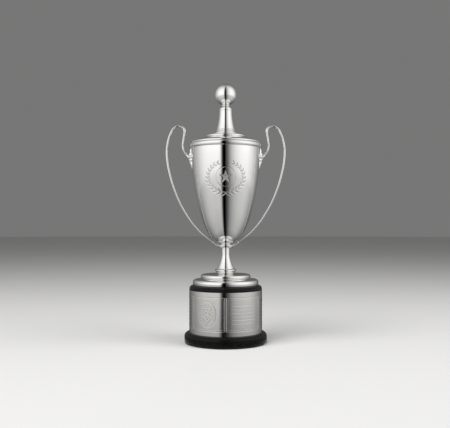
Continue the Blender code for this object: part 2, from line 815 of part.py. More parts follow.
def build_lid():
    """The low dome, its locating ring and the round plate that the finial stands on."""
    outer = ellipse(0.0, LID_SPRING, LID_RADIUS, LID_RISE, 72, 0, 7)
    inner_radius = LID_RADIUS - LID_WALL
    inner = ellipse(0.0, LID_SPRING, inner_radius, LID_RISE - LID_WALL, 12, 72, 4)
    flange_inner = BEZEL_RADIUS + CLOSE_CLEARANCE
    turned(
        "lid_dome",
        [(STUD_BORE, lid_surface(STUD_BORE))]
        + outer
        + [(LID_RADIUS, LID_EDGE), (flange_inner, LID_EDGE)]
        + inner
        + [(STUD_BORE, LID_SPRING + LID_RISE - LID_WALL)],
        "polished_silver",
    )
    bezel_inner = BEZEL_RADIUS - BEZEL_WALL
    turned(
        "lid_bezel",
        [
            (BEZEL_RADIUS, BEZEL_TOP),
            (BEZEL_RADIUS, BEZEL_BOTTOM + 0.0010),
            (BEZEL_RADIUS - 0.0004, BEZEL_BOTTOM),
            (bezel_inner, BEZEL_BOTTOM),
            (bezel_inner, BEZEL_TOP),
        ],
        "polished_silver",
    )
    seat = []
    for share in (1.0, 0.66, 0.33):
        radius = PLATE_FOOT_RADIUS * share
        seat.append((radius, lid_surface(radius) + GAP))
    seat.append((STUD_BORE, lid_surface(STUD_BORE) + GAP))
    nose_z = PLATE_TOP - PLATE_NOSE_HEIGHT
    turned(
        "lid_plate",
        [(STUD_BORE, PLATE_TOP)]
        + ellipse(PLATE_RADIUS - PLATE_NOSE, nose_z, PLATE_NOSE, PLATE_NOSE_HEIGHT, 90, -50, 5)
        + [(PLATE_FOOT_RADIUS, PLATE_FOOT_TOP)]
        + seat,
        "polished_silver",
    )


def bead(radius, height, size, start=70, end=-70):
    """Three points of a small half-round bead that stands out of a turned face."""
    return ellipse(radius - size, height, size, size, start, end, 3)


def spire_radius(height):
    drop = max(0.0, (SPIRE_SHOULDER - height) / (SPIRE_SHOULDER - FINIAL_BASE_TOP))
    return SPIRE_RADIUS + SPIRE_GROWTH * drop**SPIRE_CURVE


def build_finial():
    base_bottom = PLATE_TOP + GAP
    turned(
        "finial_base",
        [(STUD_BORE, FINIAL_BASE_TOP), (FINIAL_TOP_RADIUS, FINIAL_BASE_TOP)]
        + bead(*UPPER_BEAD)
        + [(UPPER_BEAD[0] - 0.0010, UPPER_BEAD[1] - 0.0018), (UPPER_BEAD[0], LOWER_BEAD[1] + 0.0014)]
        + bead(*LOWER_BEAD)
        + [
            (LOWER_BEAD[0], FINIAL_STEP_TOP),
            (FINIAL_BASE_RADIUS - 0.0006, FINIAL_STEP_TOP - 0.0010),
            (FINIAL_BASE_RADIUS, FINIAL_STEP_TOP - 0.0016),
            (FINIAL_BASE_RADIUS, base_bottom),
            (STUD_BORE, base_bottom),
        ],
        "polished_silver",
        MEDIUM_STEPS,
    )
    spire_bottom = FINIAL_BASE_TOP + GAP
    heights = [SPIRE_SHOULDER + (spire_bottom - SPIRE_SHOULDER) * i / 6 for i in range(7)]
    cap_round = SPIRE_CAP_RADIUS - SPIRE_CAP_FLAT
    cap_inner = SPIRE_TOP - SPIRE_CAP_WALL
    turned(
        "finial_spire",
        [(STUD_BORE, SPIRE_TOP)]
        + ellipse(SPIRE_CAP_FLAT, SPIRE_CAP_BOTTOM, cap_round, SPIRE_TOP - SPIRE_CAP_BOTTOM, 90, 0, 5)
        + [(SPIRE_RADIUS - 0.0002, SPIRE_SHOULDER + 0.0012)]
        + [(spire_radius(height), height) for height in heights]
        + [(spire_radius(height) - FINIAL_WALL, height) for height in reversed(heights[::3])]
        + [(SPIRE_CAP_FLAT - 0.0008, cap_inner), (STUD_BORE, cap_inner)],
        "polished_silver",
        MEDIUM_STEPS,
    )
    neck_bottom = SPIRE_TOP + GAP
    seat_radius = BALL_RADIUS + GAP
    cup = []
    for radius in (STUD_BORE, NECK_SEAT_RADIUS, NECK_RADIUS):
        cup.append((radius, BALL_CENTRE - math.sqrt(seat_radius**2 - radius**2)))
    turned(
        "finial_neck",
        cup
        + bead(*NECK_BEAD)
        + [(NECK_RADIUS, NECK_WAIST_Z), (NECK_RADIUS + 0.0010, neck_bottom), (STUD_BORE, neck_bottom)],
        "polished_silver",
        SMALL_STEPS,
    )
    build_ball()


def build_ball():
    """A hollow ball, with a boss inside its lowest point for the stud."""
    bore_angle = -math.degrees(math.acos(STUD_BORE / BALL_RADIUS))
    hollow = BALL_RADIUS - BALL_WALL
    boss_top = BALL_CENTRE - BALL_RADIUS + BALL_BOSS
    boss_angle = math.degrees(math.asin((boss_top - BALL_CENTRE) / hollow))
    outer = ellipse(0.0, BALL_CENTRE, BALL_RADIUS, BALL_RADIUS, 90, bore_angle, 13)
    inner = ellipse(0.0, BALL_CENTRE, hollow, hollow, boss_angle, 90, 6)
    outer[0] = (0.0, BALL_CENTRE + BALL_RADIUS)
    inner[-1] = (0.0, BALL_CENTRE + hollow)
    turned(
        "finial_ball",
        outer + [(STUD_BORE, boss_top)] + inner,
        "polished_silver",
        MEDIUM_STEPS,
        closed=False,
    )


def build_lid_hardware():
    """The stud that draws the finial down on the lid, with its washer and nut under the dome."""
    ceiling = LID_SPRING + LID_RISE - LID_WALL
    washer_bottom = ceiling - CLOSE_CLEARANCE - WASHER_THICKNESS
    washer("finial_washer", STUD_BORE, washer_bottom)
    nut_bottom = washer_bottom - GAP - STUD_NUT_THICKNESS
    hex_nut("finial_nut", STUD_NUT_FLATS, STUD_NUT_THICKNESS, STUD_BORE, nut_bottom)
    stud_bottom = nut_bottom - STUD_BELOW_NUT
    stud_top = BALL_CENTRE - BALL_RADIUS + BALL_BOSS + STUD_ABOVE_BOSS
    rod("finial_stud", STUD_RADIUS, stud_bottom, stud_top)


clear_scene()
parts = new_collection(NAME)
cutters = new_collection("cutters")
finishes = make_finishes()
build_plinth()
build_feet()
build_stem()
build_bowl()
build_tie_rod()
build_handles()
build_lid()
build_finial()
build_lid_hardware()
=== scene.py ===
"""The looks of the covered presentation cup: turned silver, engraving, lacquer, floor, light and camera."""

import json
from math import atan2, ceil, copysign, cos, exp, hypot, pi, radians, sin, sqrt, tan

import bmesh
import bpy
import numpy as np
from mathutils import Matrix, Vector


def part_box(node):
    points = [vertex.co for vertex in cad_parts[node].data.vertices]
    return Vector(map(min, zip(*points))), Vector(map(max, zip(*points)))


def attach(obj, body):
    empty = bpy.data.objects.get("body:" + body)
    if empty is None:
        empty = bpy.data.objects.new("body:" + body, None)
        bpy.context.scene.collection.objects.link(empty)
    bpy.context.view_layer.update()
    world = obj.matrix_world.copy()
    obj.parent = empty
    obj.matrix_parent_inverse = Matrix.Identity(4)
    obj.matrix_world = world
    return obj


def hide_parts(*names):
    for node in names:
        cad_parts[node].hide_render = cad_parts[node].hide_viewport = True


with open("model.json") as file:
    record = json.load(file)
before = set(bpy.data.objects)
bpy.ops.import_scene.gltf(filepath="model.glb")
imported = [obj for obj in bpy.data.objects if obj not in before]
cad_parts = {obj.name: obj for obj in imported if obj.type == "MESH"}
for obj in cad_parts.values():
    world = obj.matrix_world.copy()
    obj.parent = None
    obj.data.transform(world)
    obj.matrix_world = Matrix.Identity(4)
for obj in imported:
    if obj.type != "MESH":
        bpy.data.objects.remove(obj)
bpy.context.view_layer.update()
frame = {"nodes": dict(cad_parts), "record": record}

MM = 0.001

# Resolution of the turned work
LARGE_SEGMENTS = 160
SMALL_SEGMENTS = 96
TINY_SEGMENTS = 32
FILLET_STEP = radians(15)
SHORTEST_RUN = 0.5 * MM
LONGEST_RUN = 5.0 * MM
STRAIGHT = cos(radians(0.2))
CREVICE_REACH = 1.2 * MM
EDGE_REACH = 0.6 * MM

# Small roundings of the silver and the lacquered wood. A corner with none stated is crisp
CRISP = 0.12 * MM
SOFT = 0.35 * MM
WOOD_EDGE = 0.8 * MM

FRONT = -pi / 2

# The sockets of a Mix node that mixes colours
MIX_FACTOR, MIX_FIRST, MIX_SECOND, MIX_RESULT = 0, 6, 7, 2


def span(node):
    """A turned CAD node's outer radius, bottom and top."""
    low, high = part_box(node)
    return high.x, low.z, high.z


# ---- outlines


def left_of(direction):
    return np.array((-direction[1], direction[0]))


def unit(vector):
    return vector / max(np.linalg.norm(vector), 1e-12)


def arc(radius, height, across, rise, start, end, count=12):
    """Smooth outline points on an ellipse about (radius, height), between two angles in degrees."""
    angles = np.radians(np.linspace(start, end, count))
    return [(radius + across * cos(a), height + rise * sin(a), 0.0) for a in angles]


def beside(radius, height, *offsets):
    """Corners at offsets in millimetres from a radius and a height. A third number is the fillet, in metres."""
    return [(radius + o[0] * MM, height + o[1] * MM, *o[2:]) for o in offsets]


def turn_angle(before, after):
    return atan2(before[0] * after[1] - before[1] * after[0], before @ after)


class Outline:
    """A turned piece's outline with exact normals, made from corners (radius, height, fillet).

    It runs down the outer side first. A fillet of 0 marks a point on a smooth curve.
    """

    def __init__(self, corners, closed=True):
        self.closed = closed
        self.rows = []
        places = [np.array(c[:2], float) for c in corners]
        fillets = [c[2] if len(c) > 2 else CRISP for c in corners]
        count = len(places)
        for i, (place, fillet) in enumerate(zip(places, fillets)):
            at_end = not closed and i in (0, count - 1)
            before = place - places[i - 1] if not (at_end and i == 0) else np.array((1.0, 0.0))
            after = places[(i + 1) % count] - place if not (at_end and i > 0) else np.array((-1.0, 0.0))
            if at_end:
                self.add(place, np.array((0.0, 1.0 if i == 0 else -1.0)))
            elif fillet == 0.0:
                length_before, length_after = np.linalg.norm(before), np.linalg.norm(after)
                tangent = before / length_before * length_after + after / length_after * length_before
                self.add(place, left_of(unit(tangent)))
            else:
                self.add_fillet(place, before, after, fillet)
        self.subdivide()
        self.shade()

    def add(self, place, normal, bend=0.0):
        self.rows.append((place, normal, bend))

    def add_fillet(self, place, before, after, fillet):
        angle = turn_angle(unit(before), unit(after))
        room = 0.45 * min(np.linalg.norm(before), np.linalg.norm(after))
        reach = min(fillet * tan(abs(angle) / 2), room)
        radius = reach / max(tan(abs(angle) / 2), 1e-9)
        start = place - unit(before) * reach
        side = copysign(1.0, angle)
        centre = start + side * radius * left_of(unit(before))
        steps = max(2, ceil(abs(angle) / FILLET_STEP))
        first = left_of(unit(before))
        for i in range(steps + 1):
            a = angle * i / steps
            turn = np.array(((cos(a), -sin(a)), (sin(a), cos(a))))
            normal = turn @ first
            self.add(centre - side * radius * normal, normal, angle)

    def subdivide(self):
        """Long straight runs get more points, close together near their ends."""
        rows = []
        for i, (point, normal, bend) in enumerate(self.rows):
            rows.append((point, normal, bend))
            if i == len(self.rows) - 1 and not self.closed:
                break
            next_point, next_normal, _ = self.rows[(i + 1) % len(self.rows)]
            if normal @ next_normal <= STRAIGHT:
                continue
            for share in self.run_shares(np.linalg.norm(next_point - point)):
                between = unit(normal * (1 - share) + next_normal * share)
                rows.append((point * (1 - share) + next_point * share, between, 0.0))
        self.points, self.normals, self.bends = zip(*rows)

    @staticmethod
    def run_shares(length):
        if length < 2 * SHORTEST_RUN:
            return []
        places, step, place = [], SHORTEST_RUN, SHORTEST_RUN
        while place < length / 2:
            places.append(place / length)
            step = min(step * 2, LONGEST_RUN)
            place += step
        return places + [1 - p for p in reversed(places)]

    def shade(self):
        """How far each point lies in a crevice or on an edge, from 0 to 1."""
        gaps = [np.linalg.norm(b - a) for a, b in zip(self.points, self.points[1:])]
        run = np.concatenate([[0.0], np.cumsum(gaps)])
        self.crevice = np.zeros(len(run))
        self.edge = np.zeros(len(run))
        for place, bend in zip(run, self.bends):
            if abs(bend) < radians(20):
                continue
            weight = min(1.0, abs(bend) / radians(80))
            if bend > 0:
                self.crevice = np.maximum(self.crevice, weight * np.exp(-np.abs(run - place) / CREVICE_REACH))
            else:
                self.edge = np.maximum(self.edge, weight * np.exp(-np.abs(run - place) / EDGE_REACH))


# ---- mesh building


def add_object(name, data):
    made = bpy.data.objects.new(name, data)
    bpy.context.scene.collection.objects.link(made)
    return made


def mesh_piece(name, vertices, faces, normals=None, attributes=None, flat_faces=()):
    """A smooth piece. Its flat faces, such as the ends of a strip, keep their own normals."""
    mesh = bpy.data.meshes.new(name)
    mesh.from_pydata([tuple(v) for v in vertices], [], faces + list(flat_faces))
    mesh.polygons.foreach_set("use_smooth", [True] * len(mesh.polygons))
    for label, values in (attributes or {}).items():
        layer = mesh.attributes.new(label, "FLOAT", "POINT")
        layer.data.foreach_set("value", np.asarray(values, np.float32))
    if normals is not None:
        corner_normals = [tuple(normals[v]) for face in faces for v in face]
        for polygon in list(mesh.polygons)[len(faces):]:
            corner_normals += [tuple(polygon.normal)] * len(polygon.vertices)
        mesh.normals_split_custom_set(corner_normals)
    return add_object(name, mesh)


def turned(name, corners, closed=True, segments=LARGE_SEGMENTS):
    """A piece turned about the Z axis, with exact normals."""
    line = Outline(corners, closed)
    angles = np.linspace(0, 2 * pi, segments, endpoint=False)
    vertices, normals, crevice, edge, rings = [], [], [], [], []
    for point, normal, hollow, rim in zip(line.points, line.normals, line.crevice, line.edge):
        on_axis = point[0] < 1e-7
        ring = []
        for a in angles[:1] if on_axis else angles:
            ring.append(len(vertices))
            vertices.append((point[0] * cos(a), point[0] * sin(a), point[1]))
            normals.append((normal[0] * cos(a), normal[0] * sin(a), normal[1]))
            crevice.append(hollow)
            edge.append(rim)
        rings.append(ring)
    faces = []
    pairs = list(zip(rings, rings[1:]))
    if closed:
        pairs.append((rings[-1], rings[0]))
    for upper, lower in pairs:
        for j in range(segments):
            k = (j + 1) % segments
            if len(upper) == 1:
                faces.append((upper[0], lower[j], lower[k]))
            elif len(lower) == 1:
                faces.append((upper[j], lower[0], upper[k]))
            else:
                faces.append((upper[j], lower[j], lower[k], upper[k]))
    return mesh_piece(name, vertices, faces, normals, {"crevice": crevice, "edge": edge})


def finish_piece(piece, node, slot="polished_silver", body="cup"):
    """Gives a piece its material and its body, and hides the CAD node that it stands for."""
    piece.data.materials.clear()
    piece.data.materials.append(materials[slot])
    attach(piece, body)
    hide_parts(node)


def turn(name, corners, node, slot="polished_silver", body="cup", closed=True, segments=LARGE_SEGMENTS):
    """A turned piece, finished."""
    finish_piece(turned(name, corners, closed, segments), node, slot, body)


def close_up(mesh, sharp, weld=True):
    """Welds a mesh's seams, turns its faces outward and marks its sharp edges."""
    shape = bmesh.new()
    shape.from_mesh(mesh)
    if weld:
        bmesh.ops.remove_doubles(shape, verts=shape.verts, dist=1e-7)
    bmesh.ops.recalc_face_normals(shape, faces=shape.faces)
    shape.to_mesh(mesh)
    shape.free()
    mesh.set_sharp_from_angle(angle=sharp)


def stand(piece, seat, direction):
    """Puts a piece at a place, with its Z axis along a direction."""
    piece.matrix_world = Matrix.Translation(seat) @ direction.to_track_quat("Z", "Y").to_matrix().to_4x4()


def tube(name, path, side):
    """A round wire of varying thickness through points (x, z, radius) in the plane of the handles."""
    curve = bpy.data.curves.new(name, "CURVE")
    curve.dimensions = "3D"
    curve.resolution_u = WIRE_POINT_STEPS
    curve.bevel_depth = 1.0
    curve.bevel_resolution = WIRE_BEVEL_RESOLUTION
    curve.use_fill_caps = True
    spline = curve.splines.new("BEZIER")
    spline.bezier_points.add(len(path) - 1)
    for point, (x, z, radius) in zip(spline.bezier_points, path):
        point.co = (side * x, 0.0, z)
        point.radius = radius
        point.handle_left_type = "AUTO"
        point.handle_right_type = "AUTO"
    guide = add_object(name + "_guide", curve)
    bpy.context.view_layer.update()
    graph = bpy.context.evaluated_depsgraph_get()
    mesh = bpy.data.meshes.new_from_object(guide.evaluated_get(graph))
    mesh.name = name
    bpy.data.objects.remove(guide)
    mesh.polygons.foreach_set("use_smooth", [True] * len(mesh.polygons))
    close_up(mesh, WIRE_SHARP)
    return add_object(name, mesh)


# ---- materials


class Nodes:
    """Short calls for building one material's node tree."""

    def __init__(self, name):
        self.material = bpy.data.materials.new(name)
        self.material.use_nodes = True
        self.tree = self.material.node_tree
        self.shader = self.tree.nodes["Principled BSDF"]
        self.place = self.node("ShaderNodeTexCoord").outputs["Object"]

    def node(self, kind, inputs=None, **settings):
        made = self.tree.nodes.new(kind)
        for key, value in settings.items():
            setattr(made, key, value)
        for key, value in (inputs or {}).items():
            self.feed(made.inputs[key], value)
        return made

    def feed(self, socket, value):
        if isinstance(value, bpy.types.NodeSocket):
            self.tree.links.new(value, socket)
        else:
            socket.default_value = (*value, 1.0) if socket.type == "RGBA" else value

    def set(self, **values):
        for key, value in values.items():
            self.feed(self.shader.inputs[key.replace("_", " ")], value)

    def stretched(self, scale):
        return self.node("ShaderNodeMapping", {"Vector": self.place, "Scale": scale}).outputs["Vector"]

    def noise(self, scale, detail=3.0, roughness=0.55, distortion=0.0, vector=None):
        inputs = {
            "Vector": self.place if vector is None else vector,
            "Scale": scale,
            "Detail": detail,
            "Roughness": roughness,
            "Distortion": distortion,
        }
        return self.node("ShaderNodeTexNoise", inputs).outputs["Fac"]

    def spread(self, value, low, high, to_low=0.0, to_high=1.0):
        inputs = {"Value": value, "From Min": low, "From Max": high, "To Min": to_low, "To Max": to_high}
        return self.node("ShaderNodeMapRange", inputs).outputs["Result"]

    def maths(self, operation, first, second=0.0):
        made = self.node("ShaderNodeMath", operation=operation)
        self.feed(made.inputs[0], first)
        self.feed(made.inputs[1], second)
        return made.outputs[0]

    def times(self, first, second):
        return self.maths("MULTIPLY", first, second)

    def plus(self, first, second):
        return self.maths("ADD", first, second)

    def attribute(self, name):
        return self.node("ShaderNodeAttribute", attribute_name=name).outputs["Fac"]

    def mix(self, share, first, second):
        made = self.node("ShaderNodeMix", data_type="RGBA")
        self.feed(made.inputs[MIX_FACTOR], share)
        self.feed(made.inputs[MIX_FIRST], first)
        self.feed(made.inputs[MIX_SECOND], second)
        return made.outputs[MIX_RESULT]

    def bump(self, height, strength, distance, normal=None):
        inputs = {"Height": height, "Strength": strength, "Distance": distance}
        if normal is not None:
            inputs["Normal"] = normal
        return self.node("ShaderNodeBump", inputs).outputs["Normal"]


def polished_silver():
    """Mirror-polished plate: buffing haze, hairline scratches, and a warm tarnish with painted shade darkening
    the crevices.
    """
    n = Nodes("polished_silver")
    clouds = n.noise(26.0, detail=4.0)
    haze = n.spread(clouds, 0.42, 0.70)
    fine = n.noise(900.0, detail=2.0)
    crevice = n.attribute("crevice")
    # Painted shade and tarnish: the crevices are darkened towards warm brown, partly as real tarnish and partly
    # standing in for the shade that falls in them
    patchy = n.times(crevice, n.spread(n.noise(160.0), 0.25, 0.65))
    tarnish_and_shade = n.times(patchy, 0.55)
    etched = n.spread(n.attribute("cut"), 0.02, 0.20)
    silver = n.mix(haze, (0.955, 0.948, 0.935), (0.925, 0.918, 0.905))
    frosted = n.mix(n.times(etched, 0.85), silver, (0.70, 0.69, 0.675))
    colour = n.mix(tarnish_and_shade, frosted, (0.42, 0.33, 0.22))
    smudge = n.times(haze, n.spread(fine, 0.3, 0.7, 0.02, 0.05))
    clean = n.plus(n.plus(smudge, 0.035), n.times(tarnish_and_shade, 0.45))
    rough = n.plus(clean, n.times(etched, 0.42))
    turning = n.noise(1.0, detail=2.0, vector=n.stretched((60.0, 60.0, 2600.0)))
    hairlines = n.noise(1.0, detail=1.0, distortion=0.4, vector=n.stretched((1500.0, 1500.0, 90.0)))
    scratches = n.maths("GREATER_THAN", hairlines, 0.80)
    height = n.maths("SUBTRACT", n.times(turning, 0.25), n.times(scratches, 0.6))
    waves = n.bump(clouds, 0.10, 0.3 * MM)
    n.set(Base_Color=colour, Metallic=1.0, Roughness=rough, Normal=n.bump(height, 0.035, 0.02 * MM, waves))
    return n.material


def satin_silver():
    """Satin plate, brushed round the band, with darker oxide in the engraved lines."""
    n = Nodes("satin_silver")
    cut = n.attribute("cut")
    brushing = n.noise(1.0, detail=3.0, roughness=0.65, vector=n.stretched((18.0, 18.0, 1900.0)))
    clouds = n.noise(30.0, detail=3.0)
    etched = n.spread(cut, 0.02, 0.25)
    silver = n.mix(n.spread(clouds, 0.35, 0.70), (0.850, 0.832, 0.810), (0.800, 0.782, 0.758))
    lines = n.mix(n.spread(brushing, 0.30, 0.75, 0.0, 0.30), silver, (0.70, 0.682, 0.660))
    colour = n.mix(n.times(etched, 0.70), lines, (0.78, 0.76, 0.73))
    rough = n.spread(brushing, 0.25, 0.75, 0.14, 0.21)
    rougher = n.plus(rough, n.times(etched, 0.32))
    tangent = n.node("ShaderNodeTangent", direction_type="RADIAL", axis="Z").outputs["Tangent"]
    n.set(Base_Color=colour, Metallic=1.0, Roughness=rougher, Tangent=tangent)
    n.set(Anisotropic=0.85, Anisotropic_Rotation=0.25)
    n.set(Normal=n.bump(brushing, 0.08, 0.03 * MM))
    return n.material


def black_lacquer():
    """Turned wood in gloss black: faint pores, orange peel, dust, and rubbed brown edges."""
    n = Nodes("black_lacquer")
    grain = n.noise(1.0, detail=5.0, roughness=0.6, vector=n.stretched((34.0, 420.0, 420.0)))
    peel = n.noise(520.0, detail=2.0)
    rubbed = n.times(n.attribute("edge"), n.spread(n.noise(240.0, detail=4.0), 0.55, 0.78))
    dust = n.spread(n.noise(2200.0, detail=0.0), 0.74, 0.80)
    black = n.mix(n.spread(grain, 0.45, 0.75), (0.0040, 0.0037, 0.0037), (0.0085, 0.0075, 0.0070))
    worn = n.mix(n.times(rubbed, 0.5), black, (0.060, 0.036, 0.022))
    colour = n.mix(n.times(dust, 0.35), worn, (0.16, 0.155, 0.15))
    rough = n.plus(n.spread(n.noise(45.0), 0.3, 0.7, 0.20, 0.30), n.times(dust, 0.3))
    pores = n.bump(grain, 0.10, 0.05 * MM)
    n.set(Base_Color=colour, Roughness=rough, Normal=n.bump(peel, 0.05, 0.04 * MM, pores))
    n.set(Specular_IOR_Level=0.12, Coat_Weight=0.04, Coat_Roughness=0.12)
    return n.material


def core_wood():
    """Plain turned hardwood with rings and pores."""
    n = Nodes("core_wood")
    swirl = n.node(
        "ShaderNodeTexWave",
        {"Vector": n.stretched((1.0, 0.25, 1.0)), "Scale": 60.0, "Distortion": 6.0, "Detail": 3.0},
        wave_type="RINGS",
    ).outputs["Fac"]
    pores = n.noise(1.0, detail=4.0, vector=n.stretched((1600.0, 90.0, 1600.0)))
    wood = n.mix(swirl, (0.27, 0.155, 0.080), (0.17, 0.090, 0.045))
    colour = n.mix(n.spread(pores, 0.60, 0.70), wood, (0.09, 0.045, 0.022))
    n.set(Base_Color=colour, Roughness=n.spread(pores, 0.3, 0.7, 0.50, 0.70))
    n.set(Normal=n.bump(pores, 0.25, 0.1 * MM))
    return n.material


def felt():
    """Dark green baize with matted fibres."""
    n = Nodes("felt")
    fibres = n.noise(1700.0, detail=6.0, roughness=0.75, distortion=1.2)
    matting = n.noise(140.0, detail=3.0)
    pile = n.mix(fibres, (0.012, 0.028, 0.019), (0.034, 0.066, 0.046))
    colour = n.mix(n.spread(matting, 0.35, 0.65, 0.0, 0.4), pile, (0.045, 0.070, 0.052))
    n.set(Base_Color=colour, Roughness=n.spread(fibres, 0.3, 0.7, 0.88, 1.0))
    n.set(Sheen_Weight=0.5, Sheen_Roughness=0.45, Normal=n.bump(fibres, 0.7, 0.25 * MM))
    return n.material


def machined(name, bright, dull, low, high):
    """Machined metal with fine turning marks and a mottled skin."""
    n = Nodes(name)
    marks = n.noise(1.0, detail=2.0, vector=n.stretched((120.0, 120.0, 5200.0)))
    mottle = n.noise(420.0, detail=4.0)
    n.set(Base_Color=n.mix(n.spread(mottle, 0.35, 0.70), bright, dull), Metallic=1.0)
    n.set(Roughness=n.spread(marks, 0.3, 0.7, low, high), Normal=n.bump(marks, 0.15, 0.03 * MM))
    return n.material


def floor_material():
    n = Nodes("pale_floor")
    grain = n.noise(300.0, detail=3.0)
    n.set(Base_Color=(0.80, 0.796, 0.790), Roughness=0.85, Specular_IOR_Level=0.1)
    n.set(Normal=n.bump(grain, 0.03, 0.2 * MM))
    return n.material


materials = {
    "polished_silver": polished_silver(),
    "satin_silver": satin_silver(),
    "black_lacquer": black_lacquer(),
    "core_wood": core_wood(),
    "felt": felt(),
    "brass": machined("brass", (0.74, 0.54, 0.25), (0.58, 0.40, 0.18), 0.20, 0.36),
    "zinc_steel": machined("zinc_steel", (0.64, 0.65, 0.67), (0.52, 0.53, 0.55), 0.28, 0.45),
}

# ---- plinth

PLINTH_OPENING = 16.0 * MM
FOOT_SIDE_HEIGHT = 11.6 * MM
CAP_SHOULDER = 7.7 * MM
CAP_EDGE_HEIGHT = 2.0 * MM
ROD_BORE = 3.4 * MM
STUD_BORE = 2.8 * MM
BAND_THICKNESS = 0.8 * MM
SEAM_WIDTH = 0.5 * MM
PANEL_COUNT = 6
FRAME_INSET = 1.6 * MM
FRAME_MARGIN = 9.4 * MM
FRAME_LINE = 1.3 * MM
INNER_FRAME = 3.0 * MM
INNER_LINE = 0.7 * MM
CREST_ACROSS = 19.0 * MM
CREST_RISE = 24.0 * MM
CREST_RING_GAP = 2.4 * MM
RULE_COUNT = 6
RULE_SPACING = 6.6 * MM
RULE_HALF_LENGTH = 24.0 * MM
RULE_LINE = 1.0 * MM
CARVING_PITCH = 0.52 * MM
NEAREST_STOP = 0.08 * MM


def groove(distance, width, slope):
    """The depth of a V-shaped cut at a distance from its middle."""
    return np.maximum(0.0, slope * (width / 2 - np.abs(distance)))


def to_segment(u, v, start, end):
    """Distance from points (u, v) to a straight segment."""
    du, dv = end[0] - start[0], end[1] - start[1]
    share = np.clip(((u - start[0]) * du + (v - start[1]) * dv) / (du * du + dv * dv), 0.0, 1.0)
    return np.hypot(u - start[0] - share * du, v - start[1] - share * dv)


def to_line(u, v, points, closed=False):
    """Distance from points (u, v) to a line through several points."""
    ends = points[1:] + points[:1] if closed else points[1:]
    return np.min([to_segment(u, v, a, b) for a, b in zip(points, ends)], axis=0)


def line_cut(u, v, points, width, slope=0.35, closed=False):
    """A groove along a line, its width in millimetres."""
    return groove(to_line(u, v, points, closed), width * MM, slope)


def inside(u, v, points):
    """True where (u, v) lies inside a closed outline."""
    within = np.zeros(np.shape(u), bool)
    for (u0, v0), (u1, v1) in zip(points, points[1:] + points[:1]):
        if v0 == v1:
            continue
        crosses = (v0 > v) != (v1 > v)
        within ^= crosses & (u < (u1 - u0) * (v - v0) / (v1 - v0) + u0)
    return within


def facets(u, v, points, slope):
    """A closed outline carved so that flat facets fall from its edges to its middle."""
    return np.where(inside(u, v, points), slope * to_line(u, v, points, closed=True), 0.0)


def leaf(u, v, centre, angle, length, width, slope):
    """A bright-cut leaf: two facets that meet along its middle."""
    along = (u - centre[0]) * cos(angle) + (v - centre[1]) * sin(angle)
    across = -(u - centre[0]) * sin(angle) + (v - centre[1]) * cos(angle)
    half = width / 2 * (1 - np.clip(2 * along / length, -1.0, 1.0) ** 2)
    return np.maximum(0.0, slope * (half - np.abs(across)))


def star_points(height, radius, inner):
    """A five-pointed star about (0, height)."""
    points = []
    for i in range(10):
        a = pi / 2 + pi * i / 5
        reach = radius if i % 2 == 0 else inner
        points.append((reach * cos(a), height + reach * sin(a)))
    return points


def oval(across, rise, start=0.0, end=360.0, count=40):
    angles = np.radians(np.linspace(start, end, count))
    return [(across * cos(a), rise * sin(a)) for a in angles]


def shield_points(middle, half_width, height):
    """A heater shield: a flat top and two curved sides that meet in a point."""
    right = []
    for share in np.linspace(0.0, 1.0, 9):
        right.append((half_width * (1 - share**2.4), height * (0.5 - 0.28 - share * 0.72)))
    outline = [(-half_width, height / 2), (half_width, height / 2)] + right
    outline += [(-u, v) for u, v in reversed(right[:-1])]
    return [(u, middle + v) for u, v in outline]


def carved_turning(name, corners, angles, wrap, carve):
    """A turned piece whose outer face is carved by carve(u, z), with u measured round from the front."""
    line = Outline(corners)
    points, normals = np.array(line.points), np.array(line.normals)
    x, y = np.cos(angles), np.sin(angles)

    def swept(pairs):
        return np.stack([pairs[:, :1] * x, pairs[:, :1] * y, pairs[:, 1:] + 0 * x], axis=2)

    place, facing = swept(points), swept(normals)
    round_from_front = np.angle(np.exp(1j * (angles - FRONT)))
    u = points[:, :1] * round_from_front
    depth = np.where(normals[:, :1] > 0.3, carve(u, points[:, 1:] + 0 * u), 0.0)
    place -= depth[:, :, None] * facing
    along = np.gradient(place, axis=0)
    if wrap:
        across = np.roll(place, -1, axis=1) - np.roll(place, 1, axis=1)
    else:
        across = np.gradient(place, axis=1)
    bent = np.cross(along, across)
    bent /= np.maximum(np.linalg.norm(bent, axis=2, keepdims=True), 1e-12)
    touched = depth > 0
    near = touched.copy()
    near[1:] |= touched[:-1]
    near[:-1] |= touched[1:]
    near[:, 1:] |= touched[:, :-1]
    near[:, :-1] |= touched[:, 1:]
    facing = np.where(near[:, :, None], bent, facing)
    rows, columns = len(points), len(angles)
    faces = []
    for i in range(rows):
        k = (i + 1) % rows
        for j in range(columns if wrap else columns - 1):
            m = (j + 1) % columns
            faces.append((i * columns + j, k * columns + j, k * columns + m, i * columns + m))
    caps = []
    if not wrap:
        caps = [[i * columns for i in range(rows)], [i * columns + columns - 1 for i in reversed(range(rows))]]
    deepest = max(depth.max(), 1e-9)
    attributes = {
        "cut": (depth / deepest).ravel(),
        "crevice": np.repeat(line.crevice, columns),
        "edge": np.repeat(line.edge, columns),
    }
    return mesh_piece(name, place.reshape(-1, 3), faces, facing.reshape(-1, 3), attributes, caps)


def panel_middles(radius):
    """The middles of the band's panels, measured round from the front, where two panels meet."""
    width = 2 * pi * radius / PANEL_COUNT
    return [width * (i + 0.5 - PANEL_COUNT / 2) for i in range(PANEL_COUNT)], width


def band_lines(radius, bottom, top):
    """Where the band's engraved frames run, as half sizes about each panel's middle."""
    middle = (bottom + top) / 2
    _, width = panel_middles(radius)
    outer = (width / 2 - FRAME_INSET, (top - bottom) / 2 - FRAME_MARGIN)
    inner = (outer[0] - INNER_FRAME, outer[1] - INNER_FRAME)
    return middle, outer, inner


